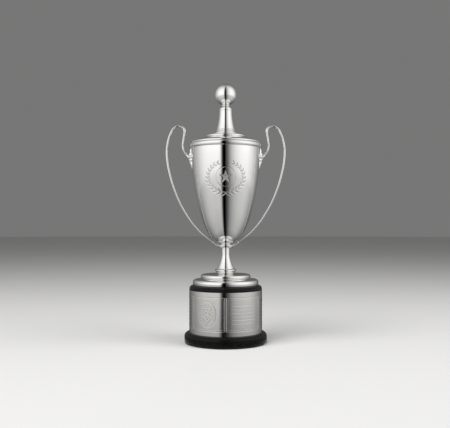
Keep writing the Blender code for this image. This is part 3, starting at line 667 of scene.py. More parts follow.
def to_frame(u, v, half_width, half_height):
    """Signed distance to a rectangle about the origin, negative inside it."""
    du, dv = np.abs(u) - half_width, np.abs(v) - half_height
    return np.hypot(np.maximum(du, 0), np.maximum(dv, 0)) + np.minimum(np.maximum(du, dv), 0)


def to_oval(u, v, across, rise):
    """About the distance from an oval round the origin, negative inside it."""
    level = np.hypot(u / across, v / rise)
    slope = np.hypot(u / across**2, v / rise**2) / np.maximum(level, 1e-9)
    return (level - 1) / np.maximum(slope, 1e-9)


def carve_crest(u, v):
    """A shield with a chevron and a star, between two leaf sprays, in a double oval."""
    cuts = [groove(to_oval(u, v, CREST_ACROSS, CREST_RISE), 1.3 * MM, 0.45)]
    inner_oval = to_oval(u, v, CREST_ACROSS - CREST_RING_GAP, CREST_RISE - CREST_RING_GAP)
    cuts.append(groove(inner_oval, 0.9 * MM, 0.40))
    shield = shield_points(0.5 * MM, 8.6 * MM, 23.0 * MM)
    cuts.append(line_cut(u, v, shield, 1.5, 0.45, closed=True))
    chevron = [(-7.8 * MM, -3.4 * MM), (0.0, 3.0 * MM), (7.8 * MM, -3.4 * MM)]
    cuts.append(line_cut(u, v, chevron, 2.2))
    star = star_points(7.2 * MM, 3.6 * MM, 1.6 * MM)
    cuts.append(facets(u, v, star, 0.45))
    for side in (-1, 1):
        for i in range(8):
            a = radians(-68 + 19 * i)
            centre = (side * 12.6 * MM * cos(a), 17.4 * MM * sin(a))
            for lean in (-0.55, 0.55):
                tilt = a + pi / 2 + lean
                angle = tilt if side > 0 else pi - tilt
                cuts.append(leaf(u, v, centre, angle, 5.6 * MM, 2.3 * MM, 0.30))
    return np.maximum.reduce(cuts)


def carve_band(radius, bottom, top):
    """The band's engraving: a double frame in each panel, a crest at the front left and ruled lines."""
    middle, outer, inner = band_lines(radius, bottom, top)
    middles, _ = panel_middles(radius)
    crest_panel = PANEL_COUNT // 2 - 1

    def carve(u, z):
        v = z - middle
        cuts = []
        for i, centre in enumerate(middles):
            across = u - centre
            cuts.append(groove(to_frame(across, v, *outer), FRAME_LINE, 0.40))
            cuts.append(groove(to_frame(across, v, *inner), INNER_LINE, 0.35))
            if i == crest_panel:
                cuts.append(carve_crest(across, v))
                continue
            for k in range(RULE_COUNT):
                height = (k - (RULE_COUNT - 1) / 2) * RULE_SPACING
                reach = to_segment(across, v, (-RULE_HALF_LENGTH, height), (RULE_HALF_LENGTH, height))
                cuts.append(groove(reach, RULE_LINE, 0.40))
        return np.maximum.reduce(cuts)

    return carve


def merged(values):
    """Sorted values without near repeats."""
    kept = []
    for value in sorted(values):
        if not kept or value - kept[-1] > NEAREST_STOP:
            kept.append(value)
    return kept


def line_stops(middle, half, width):
    """Where the grid meets two cut lines, which lie half a frame's size either side of its middle."""
    places = (middle - half, middle + half) if half else (middle,)
    return [place + width * share for place in places for share in (-0.5, -0.25, 0.0, 0.25, 0.5)]


def build_band():
    radius, bottom, top = span("plinth_band")
    middle, outer, inner = band_lines(radius, bottom, top)
    middles, _ = panel_middles(radius)
    heights = []
    for half, width in ((outer[1], FRAME_LINE), (inner[1], INNER_LINE)):
        heights += line_stops(middle, half, width)
    for k in range(RULE_COUNT):
        heights += line_stops(middle + (k - (RULE_COUNT - 1) / 2) * RULE_SPACING, 0, RULE_LINE)
    crest = CREST_ACROSS + MM
    heights += list(np.arange(middle - CREST_RISE - MM, middle + CREST_RISE + MM, CARVING_PITCH))
    heights = [h for h in merged(heights) if bottom + MM < h < top - MM]
    stops = list(np.linspace(-pi * radius + SEAM_WIDTH / 2, pi * radius - SEAM_WIDTH / 2, 181))
    for i, centre in enumerate(middles):
        for half, width in ((outer[0], FRAME_LINE), (inner[0], INNER_LINE)):
            stops += line_stops(centre, half, width)
        stops += [centre - RULE_HALF_LENGTH, centre + RULE_HALF_LENGTH]
        if i == PANEL_COUNT // 2 - 1:
            stops += list(np.arange(centre - crest, centre + crest, CARVING_PITCH))
    angles = np.array(merged(stops)) / radius + FRONT
    inner_radius = radius - BAND_THICKNESS
    corners = [(inner_radius, top), (radius, top)]
    corners += [(radius, h, 0.0) for h in reversed(heights)]
    corners += [(radius, bottom), (inner_radius, bottom)]
    band = carved_turning("engraved_band", corners, angles, False, carve_band(radius, bottom, top))
    finish_piece(band, "plinth_band", "satin_silver")


def build_band_pins():
    """Round-headed pins at the seam, each with a small turned collar."""
    for i in range(6):
        node = f"band_pin_{i + 1}"
        low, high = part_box(node)
        centre = (low + high) / 2
        outward = Vector((centre.x, centre.y, 0.0)).normalized()
        radius = (high.z - low.z) / 2
        rise = 0.55 * radius
        corners = [(0.0, rise)]
        corners += arc(0.0, 0.0, radius, rise, 84, 8, 7)
        corners += [(radius, -0.25 * radius, 0.1 * radius), (0.0, -0.25 * radius)]
        pin = turned(f"pin_head_{i + 1}", corners, closed=False, segments=TINY_SEGMENTS)
        seat = outward * (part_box("plinth_band")[1].x + 0.25 * radius)
        seat.z = centre.z
        stand(pin, seat, outward)
        finish_piece(pin, node)


def build_plinth():
    radius, bottom, top = span("plinth_foot")
    band_radius = span("plinth_band")[0]
    side_top = bottom + FOOT_SIDE_HEIGHT
    corners = [(PLINTH_OPENING, top)]
    corners += arc(band_radius, side_top, radius - band_radius, top - side_top, 90, 0, 16)
    corners += [(radius, bottom, WOOD_EDGE), (PLINTH_OPENING, bottom)]
    turn("plinth_foot_moulding", corners, "plinth_foot", "black_lacquer")
    radius, bottom, top = span("plinth_cap")
    shoulder = radius - CAP_SHOULDER
    edge_top = bottom + CAP_EDGE_HEIGHT
    corners = [(ROD_BORE, top)]
    corners += arc(shoulder, edge_top, CAP_SHOULDER, top - edge_top, 90, 0, 16)
    corners += [(radius, bottom, SOFT), (ROD_BORE, bottom)]
    turn("plinth_cap_moulding", corners, "plinth_cap", "black_lacquer")
    radius, bottom, top = span("base_felt")
    corners = [(0.0, top), (radius, top, SOFT), (radius, bottom, SOFT), (0.0, bottom)]
    turn("felt_disc", corners, "base_felt", "felt", closed=False)
    build_band()
    build_band_pins()


# ---- feet and stem

SPUN_WALL = 1.8 * MM
STEM_NECK = 7.6 * MM
STEM_FLARE_TOP = 12.3 * MM
STEM_FLARE_LENGTH = 27.4 * MM
STEM_FLARE_GROWTH = 9.7 * MM
STEM_LIP_DROP = 42.3 * MM
STEM_FOOT = 16.0 * MM
KNOP_RIM_RISE = 2.1 * MM
SEAT_RADIUS = 14.2 * MM
SEAT_DEPTH = 2.2 * MM


def build_feet():
    radius, bottom, top = span("foot_flange")
    across, rise, fall = 4.8 * MM, 6.2 * MM, 8.0 * MM
    middle = bottom + 4.5 * MM
    bead = radius - across
    corners = [(ROD_BORE, top), (bead - 5.0 * MM, top, 3.0 * MM)]
    corners += arc(bead, middle, across, rise, 105, 2, 24)
    corners += arc(bead, middle, across, fall, 0, -32, 8)
    corners += [
        (radius - 0.8 * MM, bottom, SOFT),
        (radius - 0.8 * MM - SPUN_WALL, bottom),
        (radius - SPUN_WALL, middle, SOFT),
        (bead, middle + rise - SPUN_WALL, SOFT),
        (bead - 5.0 * MM, top - SPUN_WALL, SOFT),
        (ROD_BORE, top - SPUN_WALL),
    ]
    turn("flange_moulding", corners, "foot_flange")
    radius, bottom, top = span("foot_step")
    across, rise = 4.4 * MM, 4.4 * MM
    middle = top - rise + 0.3 * MM
    bead = radius - across
    waist = bead - 0.6 * MM
    corners = [(ROD_BORE, top - 0.2 * MM), (bead - 2.0 * MM, top - 0.2 * MM, 2.0 * MM)]
    corners += arc(bead, middle, across, rise, 100, -86, 30)
    corners += [
        (waist, middle - rise, SOFT),
        (waist, bottom, SOFT),
        (waist - SPUN_WALL, bottom),
        (waist - SPUN_WALL, middle - rise + SPUN_WALL, SOFT),
        (bead, middle - rise + SPUN_WALL, SOFT),
        (radius - SPUN_WALL, middle, SOFT),
        (bead, top - SPUN_WALL, SOFT),
        (ROD_BORE, top - 0.2 * MM - SPUN_WALL),
    ]
    turn("step_moulding", corners, "foot_step")


def build_stem():
    lip_radius, bottom, top = span("stem")
    corners = [(ROD_BORE, top), (STEM_NECK + 0.2 * MM, top, SOFT)]
    for share in np.linspace(0.0, 1.0, 34):
        height = top - STEM_FLARE_TOP - STEM_FLARE_LENGTH * share
        corners.append((STEM_NECK + STEM_FLARE_GROWTH * share**1.6, height, 0.0))
    lip_z = top - STEM_LIP_DROP
    lip = 1.5 * MM
    corners += arc(lip_radius - lip, lip_z, lip, 1.4 * MM, 74, -64, 12)
    corners += beside(STEM_FOOT, bottom, (2.4, 3.2, 1.6 * MM), (0.2, 1.7, SOFT), (0, 0))
    corners += [(ROD_BORE, bottom)]
    turn("trumpet_stem", corners, "stem")
    radius, bottom, top = span("stem_collar")
    corners = [(ROD_BORE, top)]
    corners += beside(radius, top, (-0.3, 0, SOFT), (0, -0.8, SOFT))
    corners += beside(radius, top, (-0.2, -2.7, 1.2 * MM), (-1.1, -4.8, 1.2 * MM))
    corners += [(radius - 2.0 * MM, bottom), (ROD_BORE, bottom)]
    turn("collar_disc", corners, "stem_collar")
    radius, bottom, top = span("knop")
    rim = top + KNOP_RIM_RISE
    corners = [(ROD_BORE, top), (SEAT_RADIUS - 0.3 * MM, top), (SEAT_RADIUS - 0.3 * MM, rim)]
    corners += arc(7.3 * MM, rim + 0.2 * MM, radius - 7.4 * MM, 7.8 * MM, -3, -62, 20)
    corners += [(11.1 * MM, bottom), (ROD_BORE, bottom)]
    turn("knop_bead", corners, "knop")


# ---- bowl

BOWL_SHOULDER_DROP = 9.3 * MM
BOWL_DEPTH = 186.0 * MM
BOWL_FULLNESS = 1.6
BOWL_ROUNDNESS = 0.4
BOWL_WALL = 1.3 * MM
BOWL_FLOOR_RADIUS = 18.5 * MM
BOWL_FLOOR_THICKNESS = 1.6 * MM
ORNAMENT_DROP = 69.0 * MM
ORNAMENT_HALF_WIDTH = 46.0 * MM
ORNAMENT_HALF_HEIGHT = 37.0 * MM
WREATH_ACROSS = 35.0 * MM
WREATH_RISE = 28.0 * MM
LEAF_PAIRS = 11


def bowl_radius(height):
    """The outer radius of the egg-shaped bowl at a height."""
    widest, _, top = span("bowl")
    shoulder = top - BOWL_SHOULDER_DROP
    if height >= shoulder:
        return widest
    drop = (shoulder - height) / BOWL_DEPTH
    return widest * (1 - drop**BOWL_FULLNESS) ** BOWL_ROUNDNESS


def carve_ornament(u, v):
    """A laurel wreath with a ribbon, round a faceted star."""
    cuts = [facets(u, v, star_points(MM, 14.0 * MM, 5.8 * MM), 0.16)]
    cuts.append(groove(np.hypot(u, v - 1.0 * MM) - 18.0 * MM, 1.2 * MM, 0.35))
    for side in (-1, 1):
        stem = [(side * a, b) for a, b in oval(WREATH_ACROSS, WREATH_RISE, -86, 66, 24)]
        cuts.append(line_cut(u, v, stem, 1.3))
        for i in range(LEAF_PAIRS):
            share = i / (LEAF_PAIRS - 1)
            a = radians(-78 + 140 * share)
            place = (side * WREATH_ACROSS * cos(a), WREATH_RISE * sin(a))
            heading = atan2(WREATH_RISE * cos(a), -side * WREATH_ACROSS * sin(a))
            length, width = (12.5 - 4.0 * share) * MM, (4.4 - 1.2 * share) * MM
            for lean in (-0.62, 0.62):
                angle = heading + lean
                centre = (place[0] + 0.45 * length * cos(angle), place[1] + 0.45 * length * sin(angle))
                cuts.append(leaf(u, v, centre, angle, length, width, 0.17))
        loop = [(side * (5.0 * MM + a), b) for a, b in oval(4.4 * MM, 2.4 * MM)]
        loop = [(a, b - WREATH_RISE - 1.0 * MM) for a, b in loop]
        cuts.append(line_cut(u, v, loop, 1.4))
        tail = [(side * 1.0 * MM, -WREATH_RISE - 2.0 * MM), (side * 5.0 * MM, -WREATH_RISE - 5.0 * MM)]
        tail += [(side * 11.0 * MM, -WREATH_RISE - 5.6 * MM)]
        cuts.append(line_cut(u, v, tail, 1.5))
    return np.maximum.reduce(cuts)


def build_bowl():
    widest, bottom, top = span("bowl")
    shoulder = top - BOWL_SHOULDER_DROP
    ornament_z = top - ORNAMENT_DROP
    low, high = ornament_z - ORNAMENT_HALF_HEIGHT, ornament_z + ORNAMENT_HALF_HEIGHT
    base = bottom + SEAT_DEPTH
    heights = [shoulder - (shoulder - base) * (1 - share**1.7) for share in np.linspace(1.0, 0.0, 56)]
    heights = [h for h in heights if not low < h < high]
    heights += list(np.arange(low, high, CARVING_PITCH))
    heights = sorted(heights, reverse=True)
    outer = [(bowl_radius(h), h, 0.0) for h in heights]
    slopes = [(bowl_radius(h + 0.05 * MM) - bowl_radius(h - 0.05 * MM)) / (0.1 * MM) for h in heights]
    floor = bottom + BOWL_FLOOR_THICKNESS
    shelf = base + BOWL_WALL
    inner = []
    for (radius, height, _), slope in zip(outer, slopes):
        length = hypot(1.0, slope)
        point = (radius - BOWL_WALL / length, height + BOWL_WALL * slope / length, 0.0)
        spaced = not inner or inner[-1][1] - point[1] > 2.5 * MM or point[0] < 25.0 * MM
        if point[1] > shelf + BOWL_WALL and spaced:
            inner.append(point)
    corners = [(widest - BOWL_WALL, top), (widest, top)]
    corners += outer[:-1] + [
        (bowl_radius(base), base, SOFT),
        (SEAT_RADIUS, base),
        (SEAT_RADIUS, bottom),
        (ROD_BORE, bottom),
        (ROD_BORE, floor),
        (SEAT_RADIUS - 1.5 * MM, floor, SOFT),
        (SEAT_RADIUS - 0.4 * MM, shelf, SOFT),
        (BOWL_FLOOR_RADIUS, shelf, BOWL_WALL),
    ]
    corners += inner[::-1]
    half = ORNAMENT_HALF_WIDTH / bowl_radius(ornament_z)
    dense = np.arange(-half, half, CARVING_PITCH / bowl_radius(ornament_z))
    plain = np.linspace(half, 2 * pi - half, int(LARGE_SEGMENTS * (1 - half / pi)), endpoint=False)
    angles = np.concatenate([dense, plain]) + FRONT

    def carve(u, z):
        return carve_ornament(u, z - ornament_z)

    bowl = carved_turning("engraved_bowl", corners, angles, True, carve)
    finish_piece(bowl, "bowl")
    radius, bottom, top = span("rim_moulding")
    seat = widest + 0.3 * MM
    round_start = seat + 0.5 * MM
    middle, rise = (top + bottom) / 2, (top - bottom) / 2
    corners = [(seat, top)]
    corners += arc(round_start, middle, radius - round_start, rise, 84, -84, 30)
    corners += [(seat, bottom)]
    turn("rim_bead", corners, "rim_moulding")


# ---- handles

# One handle on the +X side: x, z and the wire's radius, from its bracket round to the stem collar
HANDLE_PATH = (
    (0.0736, 0.3606, 0.00165), (0.0790, 0.3670, 0.00170), (0.0822, 0.3734, 0.00185), (0.0832, 0.3800, 0.00190),
    (0.0823, 0.3910, 0.00185), (0.0803, 0.4025, 0.00215), (0.0797, 0.4095, 0.00270), (0.0828, 0.4155, 0.00235),
    (0.0920, 0.4186, 0.00170), (0.1008, 0.4142, 0.00195), (0.1069, 0.4040, 0.00205), (0.1118, 0.3890, 0.00210),
    (0.1142, 0.3700, 0.00210), (0.1132, 0.3520, 0.00210), (0.1100, 0.3327, 0.00205), (0.0989, 0.2939, 0.00195),
    (0.0809, 0.2551, 0.00180), (0.0526, 0.2163, 0.00150), (0.0297, 0.1969, 0.00130), (0.0206, 0.1907, 0.00115),
)
BRACKET_ARM = (
    (0.0672, 0.3578, 0.0042), (0.0700, 0.3587, 0.0040), (0.0730, 0.3606, 0.0034), (0.0753, 0.3630, 0.0027),
    (0.0768, 0.3646, 0.0026), (0.0771, 0.3650, 0.0022),
)
FOOT_PATH = (
    (0.0150, 0.1867, 0.0026), (0.0180, 0.1888, 0.0024), (0.0212, 0.1911, 0.0020), (0.0232, 0.1925, 0.0019),
    (0.0240, 0.1931, 0.0023), (0.0247, 0.1936, 0.0022), (0.0252, 0.1940, 0.0013),
)
WIRE_POINT_STEPS = 10
WIRE_BEVEL_RESOLUTION = 6
WIRE_SHARP = radians(50)
LEAF_SHARP = radians(55)
LEAF_TOP = 0.3748
LEAF_BOTTOM = 0.3368
LEAF_ROWS = 61
LEAF_COLUMNS = 25
LEAF_LOBES = 5


def leaf_half_width(share):
    """Half the width of the cast leaf, from its top tip down to its blunt tail."""
    body = 4.9 * MM * exp(-(((share - 0.42) / 0.27) ** 2))
    tail = 2.1 * MM * (1 - exp(-(((1.0 - share) / 0.08) ** 2))) * min(1.0, share / 0.2)
    lobes = 1 + 0.20 * cos(2 * pi * LEAF_LOBES * share)
    return max(body * lobes, tail, 0.25 * MM)


# How far the leaf's middle stands off the bowl at each height
LEAF_STAND = (
    (0.3368, 0.0004), (0.3395, 0.0013), (0.3440, 0.0023), (0.3492, 0.0038), (0.3530, 0.0050), (0.3570, 0.0064),
    (0.3600, 0.0070), (0.3630, 0.0056), (0.3660, 0.0034), (0.3690, 0.0023), (0.3725, 0.0016), (0.3748, 0.0006),
)


def leaf_height(share, across):
    """How far the leaf's face stands off the bowl, with a midrib and veins that curve down to its lobes."""
    height = LEAF_TOP + (LEAF_BOTTOM - LEAF_TOP) * share
    crown = float(np.interp(height, *zip(*LEAF_STAND)))
    dome = crown * (1 - abs(across) ** 1.7)
    midrib = 0.50 * MM * exp(-((across / 0.15) ** 2)) * min(1.0, crown / MM)
    vein = 0.22 * MM * cos(2 * pi * LEAF_LOBES * (share - 0.10 * abs(across)) + pi)
    return dome + midrib + vein * abs(across) * (1 - abs(across))


def leaf_mesh(name, side):
    """A closed cast leaf that follows the bowl's wall."""
    vertices, faces = [], []
    for back in (False, True):
        for i in range(LEAF_ROWS):
            share = i / (LEAF_ROWS - 1)
            height = LEAF_TOP + (LEAF_BOTTOM - LEAF_TOP) * share
            wall = bowl_radius(height) + 0.05 * MM
            for j in range(LEAF_COLUMNS):
                across = 2 * j / (LEAF_COLUMNS - 1) - 1
                stand = -0.3 * MM if back else max(0.0, leaf_height(share, across))
                y = across * leaf_half_width(share)
                angle = y / wall
                reach = wall + stand
                vertices.append((side * reach * cos(angle), reach * sin(angle), height))
    grid = np.arange(LEAF_ROWS * LEAF_COLUMNS).reshape(LEAF_ROWS, LEAF_COLUMNS)
    for i in range(LEAF_ROWS - 1):
        for j in range(LEAF_COLUMNS - 1):
            front = [grid[i, j], grid[i + 1, j], grid[i + 1, j + 1], grid[i, j + 1]]
            faces += [front, [v + grid.size for v in reversed(front)]]
    edge = [*grid[0, :-1], *grid[:-1, -1], *grid[-1, :0:-1], *grid[:0:-1, 0]]
    for a, b in zip(edge, edge[1:] + edge[:1]):
        faces.append([a, b, b + grid.size, a + grid.size])
    piece = mesh_piece(name, vertices, faces)
    close_up(piece.data, LEAF_SHARP, weld=False)
    return piece


def join(first, second):
    """Adds the second piece's mesh to the first."""
    shape = bmesh.new()
    shape.from_mesh(first.data)
    shape.from_mesh(second.data)
    shape.to_mesh(first.data)
    shape.free()
    bpy.data.objects.remove(second)
    return first


def build_ferrule(name, side):
    """A short sleeve with two beads, where the handle leaves its bracket."""
    length, bead = 3.4 * MM, 0.75 * MM
    bore, waist = 1.8 * MM, 2.35 * MM
    corners = [(bore, length), (waist, length)]
    for middle in (0.72 * length, 0.28 * length):
        corners += arc(waist, middle, bead, bead, 70, -70, 9)
        corners += [(waist, middle - 1.1 * bead)]
    corners = corners[:-1] + [(waist, 0.0), (bore, 0.0)]
    sleeve = turned(name, corners, segments=48)
    start = Vector((side * HANDLE_PATH[0][0], 0.0, HANDLE_PATH[0][1]))
    towards = (Vector((side * HANDLE_PATH[1][0], 0.0, HANDLE_PATH[1][1])) - start).normalized()
    seat = start + towards * 5.2 * MM
    stand(sleeve, seat, towards)
    return sleeve


def build_handles():
    for word, side in (("right", 1.0), ("left", -1.0)):
        finish_piece(tube("wire_" + word, HANDLE_PATH, side), "handle_" + word)
        bracket = join(leaf_mesh("leaf_bracket_" + word, side), tube("arm_" + word, BRACKET_ARM, side))
        finish_piece(bracket, "handle_bracket_" + word)
        finish_piece(build_ferrule("beaded_sleeve_" + word, side), "handle_ferrule_" + word)
        finish_piece(tube("terminal_" + word, FOOT_PATH, side), "handle_foot_" + word)


# ---- lid

LID_WALL = 1.2 * MM
LID_EDGE_HEIGHT = 1.4 * MM
BEZEL_WALL = 1.2 * MM
PLATE_FOOT = 2.4 * MM
SPIRE_WALL = 1.6 * MM


def lid_surface(radius):
    """The height of the lid's outer face at a radius."""
    widest, bottom, top = span("lid_dome")
    spring = bottom + LID_EDGE_HEIGHT
    return spring + (top - spring) * sqrt(1 - (radius / widest) ** 2)


def build_lid():
    widest, bottom, top = span("lid_dome")
    spring = bottom + LID_EDGE_HEIGHT
    bezel_radius, bezel_bottom, bezel_top = span("lid_bezel")
    flange_inner = bezel_radius + 0.45 * MM
    corners = [(STUD_BORE, top)]
    corners += arc(0.0, spring, widest, top - spring, 87, 2, 40)
    corners += [(widest, bottom, SOFT), (flange_inner, bottom)]
    corners += arc(0.0, spring, widest - LID_WALL, top - spring - LID_WALL, 13, 87, 20)
    corners += [(STUD_BORE, top - LID_WALL)]
    turn("domed_lid", corners, "lid_dome", body="lid")
    bezel_inner = bezel_radius - BEZEL_WALL
    corners = [
        (bezel_inner, bezel_top),
        (bezel_radius, bezel_top),
        (bezel_radius, bezel_bottom, 0.5 * MM),
        (bezel_inner, bezel_bottom, 0.3 * MM),
    ]
    turn("locating_ring", corners, "lid_bezel", body="lid")
    radius, _, top = span("lid_plate")
    nose, height = 3.0 * MM, 2.3 * MM
    foot = radius - PLATE_FOOT
    corners = [(STUD_BORE, top)]
    corners += arc(radius - nose, top - height, nose, height, 90, -50, 20)
    corners += [(foot, top - 5.3 * MM, 0.8 * MM), (foot, lid_surface(foot) + 0.1 * MM)]
    for radius in np.linspace(foot, STUD_BORE, 9)[1:-1]:
        corners.append((radius, lid_surface(radius) + 0.2 * MM, 0.0))
    corners += [(STUD_BORE, lid_surface(STUD_BORE) + 0.2 * MM)]
    turn("lid_disc", corners, "lid_plate", body="lid")


def bead(radius, height, size):
    """A half-round bead that stands out of a turned face to a radius."""
    return arc(radius - size, height, size, size, 75, -75, 11)


def build_finial():
    radius, bottom, top = span("finial_base")
    corners = [(STUD_BORE, top), (18.6 * MM, top)]
    corners += bead(20.0 * MM, top - 1.2 * MM, 1.1 * MM)
    corners += beside(0, top, (19.0, -3.0, SOFT), (20.1, -4.6, SOFT))
    corners += bead(21.8 * MM, top - 6.0 * MM, 1.2 * MM)
    corners += beside(0, top, (21.4, -7.8)) + beside(radius, top, (-0.5, -8.7, 0.8 * MM))
    corners += [(radius, bottom), (STUD_BORE, bottom)]
    turn("finial_footing", corners, "finial_base", body="lid")
    radius, bottom, top = span("finial_spire")
    shoulder_z, shoulder, growth = top - 8.0 * MM, 12.6 * MM, radius - 12.6 * MM
    corners = [(STUD_BORE, top)]
    corners += arc(8.6 * MM, top - 6.0 * MM, 4.2 * MM, 6.0 * MM, 90, 0, 20)
    corners += [(12.45 * MM, top - 6.9 * MM, SOFT)]
    for shares, wall in ((np.linspace(0.0, 1.0, 40), 0.0), (np.linspace(1.0, 0.0, 9), SPIRE_WALL)):
        for share in shares:
            height = shoulder_z + (bottom - shoulder_z) * share
            corners.append((shoulder + growth * share**1.8 - wall, height, 0.0 if 0 < share < 1 else CRISP))
    corners += [(7.8 * MM, top - 2.6 * MM), (STUD_BORE, top - 2.6 * MM)]
    turn("waisted_spire", corners, "finial_spire", body="lid")
    ball_radius, _, ball_top = span("finial_ball")
    centre = ball_top - ball_radius
    radius, bottom, top = span("finial_neck")
    neck, seat = 7.9 * MM, ball_radius + 0.1 * MM
    corners = []
    for reach in np.linspace(STUD_BORE, neck, 8):
        corner = CRISP if reach in (STUD_BORE, neck) else 0.0
        corners.append((reach, centre - sqrt(seat**2 - reach**2), corner))
    corners += bead(radius - 0.1 * MM, bottom + 2.3 * MM, 0.9 * MM)
    corners += [(neck, bottom + 0.9 * MM, SOFT), (neck + 1.0 * MM, bottom), (STUD_BORE, bottom)]
    turn("beaded_neck", corners, "finial_neck", body="lid", segments=SMALL_SEGMENTS)
    corners = arc(0.0, centre, ball_radius, ball_radius, 90, -90, 91)
    turn("ball_finial", corners, "finial_ball", body="lid", closed=False)


# ---- hardware

THREAD_PITCH = 1.0 * MM
THREAD_DEPTH = 0.45 * MM
THREAD_LENGTH = 11.0 * MM
THREAD_EDGE = 0.05 * MM
ROD_CHAMFER = 0.7 * MM


def threaded_rod(name, node, body, top_threads):
    """A brass rod with a turned thread at its visible end."""
    radius, bottom, top = span(node)
    drops = [i * THREAD_PITCH for i in range(int(THREAD_LENGTH / THREAD_PITCH))]
    first, last = top - ROD_CHAMFER, bottom + ROD_CHAMFER
    corners = [(0.0, top), (radius - ROD_CHAMFER, top)]
    if top_threads:
        for drop in drops:
            corners += [(radius, first - drop, THREAD_EDGE)]
            corners += [(radius - THREAD_DEPTH, first - drop - THREAD_PITCH / 2, THREAD_EDGE)]
        corners += [(radius, first - THREAD_LENGTH, THREAD_EDGE)]
    else:
        corners += [(radius, first, THREAD_EDGE)]
        for drop in reversed(drops):
            corners += [(radius, last + drop + THREAD_PITCH, THREAD_EDGE)]
            corners += [(radius - THREAD_DEPTH, last + drop + THREAD_PITCH / 2, THREAD_EDGE)]
    corners += [(radius, last), (radius - ROD_CHAMFER, bottom), (0.0, bottom)]
    turn(name, corners, node, "brass", body, closed=False, segments=TINY_SEGMENTS)


def finish_hardware():
    threaded_rod("threaded_tie_rod", "tie_rod", "cup", True)
    threaded_rod("threaded_stud", "finial_stud", "lid", False)
    for node, obj in frame["nodes"].items():
        slot = next(s["material_slot"] for s in frame["record"]["subparts"] if s["node"] == node)
        for place in obj.material_slots:
            place.link = "OBJECT"
            place.material = materials[slot]
        if node.endswith(("_nut", "_washer")):
            bevel = obj.modifiers.new("Edges", "BEVEL")
            bevel.width = 0.25 * MM
            bevel.segments = 3
            bevel.limit_method = "ANGLE"


# ---- studio

FLOOR_RADIUS = 12.0
TENT_COLUMNS = 180

# How brightly the tent glows round the cup: degrees from the front, to the right, and strength
TENT_GLOW = (
    (-180, 0.12), (-150, 0.20), (-137, 0.30), (-122, 0.42), (-110, 0.53), (-100, 0.66), (-90, 0.80), (-74, 0.98),
    (-60, 1.05), (-24, 1.05), (-18, 0.90), (-12, 0.12), (-9, 0.00), (-1, 0.00), (2, 0.08), (7, 0.14), (14, 0.36),
    (20, 0.55), (33, 0.82), (47, 0.98), (60, 1.05), (77, 1.05), (93, 0.88), (113, 0.58), (137, 0.28), (150, 0.18),
    (180, 0.12),
)
# The tent's rings: radius, height, strength, and how much of the pattern round it they show
TENT_RINGS = (
    (0.10, 0.0004, 0.20, 1.0), (0.22, 0.0004, 0.40, 1.0), (0.60, 0.0004, 0.52, 1.0), (1.90, 0.0004, 0.65, 1.0),
    (2.00, 0.10, 0.85, 1.0), (2.00, 0.50, 1.00, 1.0), (2.00, 1.30, 1.00, 1.0), (1.75, 1.95, 0.95, 0.95),
    (1.20, 2.40, 0.80, 0.80), (0.50, 2.60, 0.60, 0.50), (0.02, 2.65, 0.50, 0.20),
)
TENT_MEAN = 0.6


def build_floor():
    shape = bmesh.new()
    bmesh.ops.create_circle(shape, cap_ends=True, radius=FLOOR_RADIUS, segments=96)
    mesh = bpy.data.meshes.new("floor")
    shape.to_mesh(mesh)
    shape.free()
    floor = add_object("floor", mesh)
    floor.location.z = -0.05 * MM
    mesh.materials.append(floor_material())


def tent_material():
    material = bpy.data.materials.new("tent")
    material.use_nodes = True
    tree = material.node_tree
    tree.nodes.clear()
    light = tree.nodes.new("ShaderNodeEmission")
    level = tree.nodes.new("ShaderNodeAttribute")
    level.attribute_name = "glow"
    output = tree.nodes.new("ShaderNodeOutputMaterial")
    tree.links.new(level.outputs["Fac"], light.inputs["Strength"])
    tree.links.new(light.outputs["Emission"], output.inputs["Surface"])
    return material


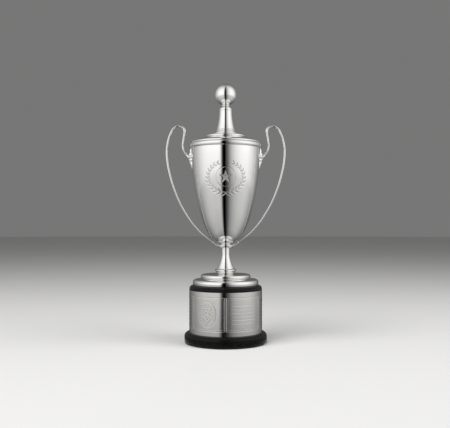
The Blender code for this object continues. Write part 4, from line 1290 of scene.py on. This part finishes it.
def build_tent():
    """A photographer's light tent with a black flag by the camera, seen only in the reflections."""
    degrees = np.linspace(-180, 180, TENT_COLUMNS, endpoint=False)
    pattern = np.interp(degrees, *zip(*TENT_GLOW))
    angles = np.radians(degrees) + FRONT
    vertices, faces, glow = [], [], []
    for radius, height, strength, contrast in TENT_RINGS:
        for angle, level in zip(angles, pattern):
            vertices.append((radius * cos(angle), radius * sin(angle), height))
            glow.append(strength * (contrast * level + (1 - contrast) * TENT_MEAN))
    for i in range(len(TENT_RINGS) - 1):
        for j in range(TENT_COLUMNS):
            k = (j + 1) % TENT_COLUMNS
            low, high = i * TENT_COLUMNS, (i + 1) * TENT_COLUMNS
            faces.append((low + j, low + k, high + k, high + j))
    tent = mesh_piece("tent", vertices, faces, attributes={"glow": glow})
    tent.data.materials.append(tent_material())
    tent.visible_camera = False
    tent.visible_diffuse = False
    tent.visible_shadow = False


def area_light(name, place, size, energy):
    """A soft light aimed at the cup. It lights the floor and casts soft shadows, and isn't mirrored."""
    data = bpy.data.lights.new(name, "AREA")
    data.shape = "DISK"
    data.size = size
    data.energy = energy
    lamp = add_object(name, data)
    lamp.location = place
    aim = Vector((0.0, 0.0, 0.2)) - lamp.location
    lamp.rotation_euler = aim.to_track_quat("-Z", "Y").to_euler()
    lamp.visible_camera = False
    lamp.visible_glossy = False


def build_studio():
    build_floor()
    build_tent()
    area_light("key", (-1.0, -1.0, 2.2), 1.6, 46.0)
    area_light("fill", (1.4, -0.6, 1.8), 1.6, 24.0)
    world = bpy.data.worlds.new("studio")
    world.use_nodes = True
    background = world.node_tree.nodes["Background"]
    background.inputs["Color"].default_value = (0.185, 0.184, 0.183, 1.0)
    bpy.context.scene.world = world
    bpy.context.scene.view_settings.view_transform = "Standard"


# The camera looks level along +Y at this height, and the horizon lies a little below the middle
CAMERA_PLACE = (-0.0013, -1.2804, 0.2270)
CAMERA_LENS = 52.8
CAMERA_SHIFT = 0.0244


def build_camera():
    data = bpy.data.cameras.new("camera")
    data.sensor_width = 36.0
    data.lens = CAMERA_LENS
    data.shift_y = CAMERA_SHIFT
    camera = add_object("camera", data)
    camera.location = CAMERA_PLACE
    camera.rotation_euler = (pi / 2, 0.0, 0.0)
    bpy.context.scene.camera = camera


build_camera()
build_plinth()
build_feet()
build_stem()
build_bowl()
build_handles()
build_lid()
build_finial()
finish_hardware()
build_studio()
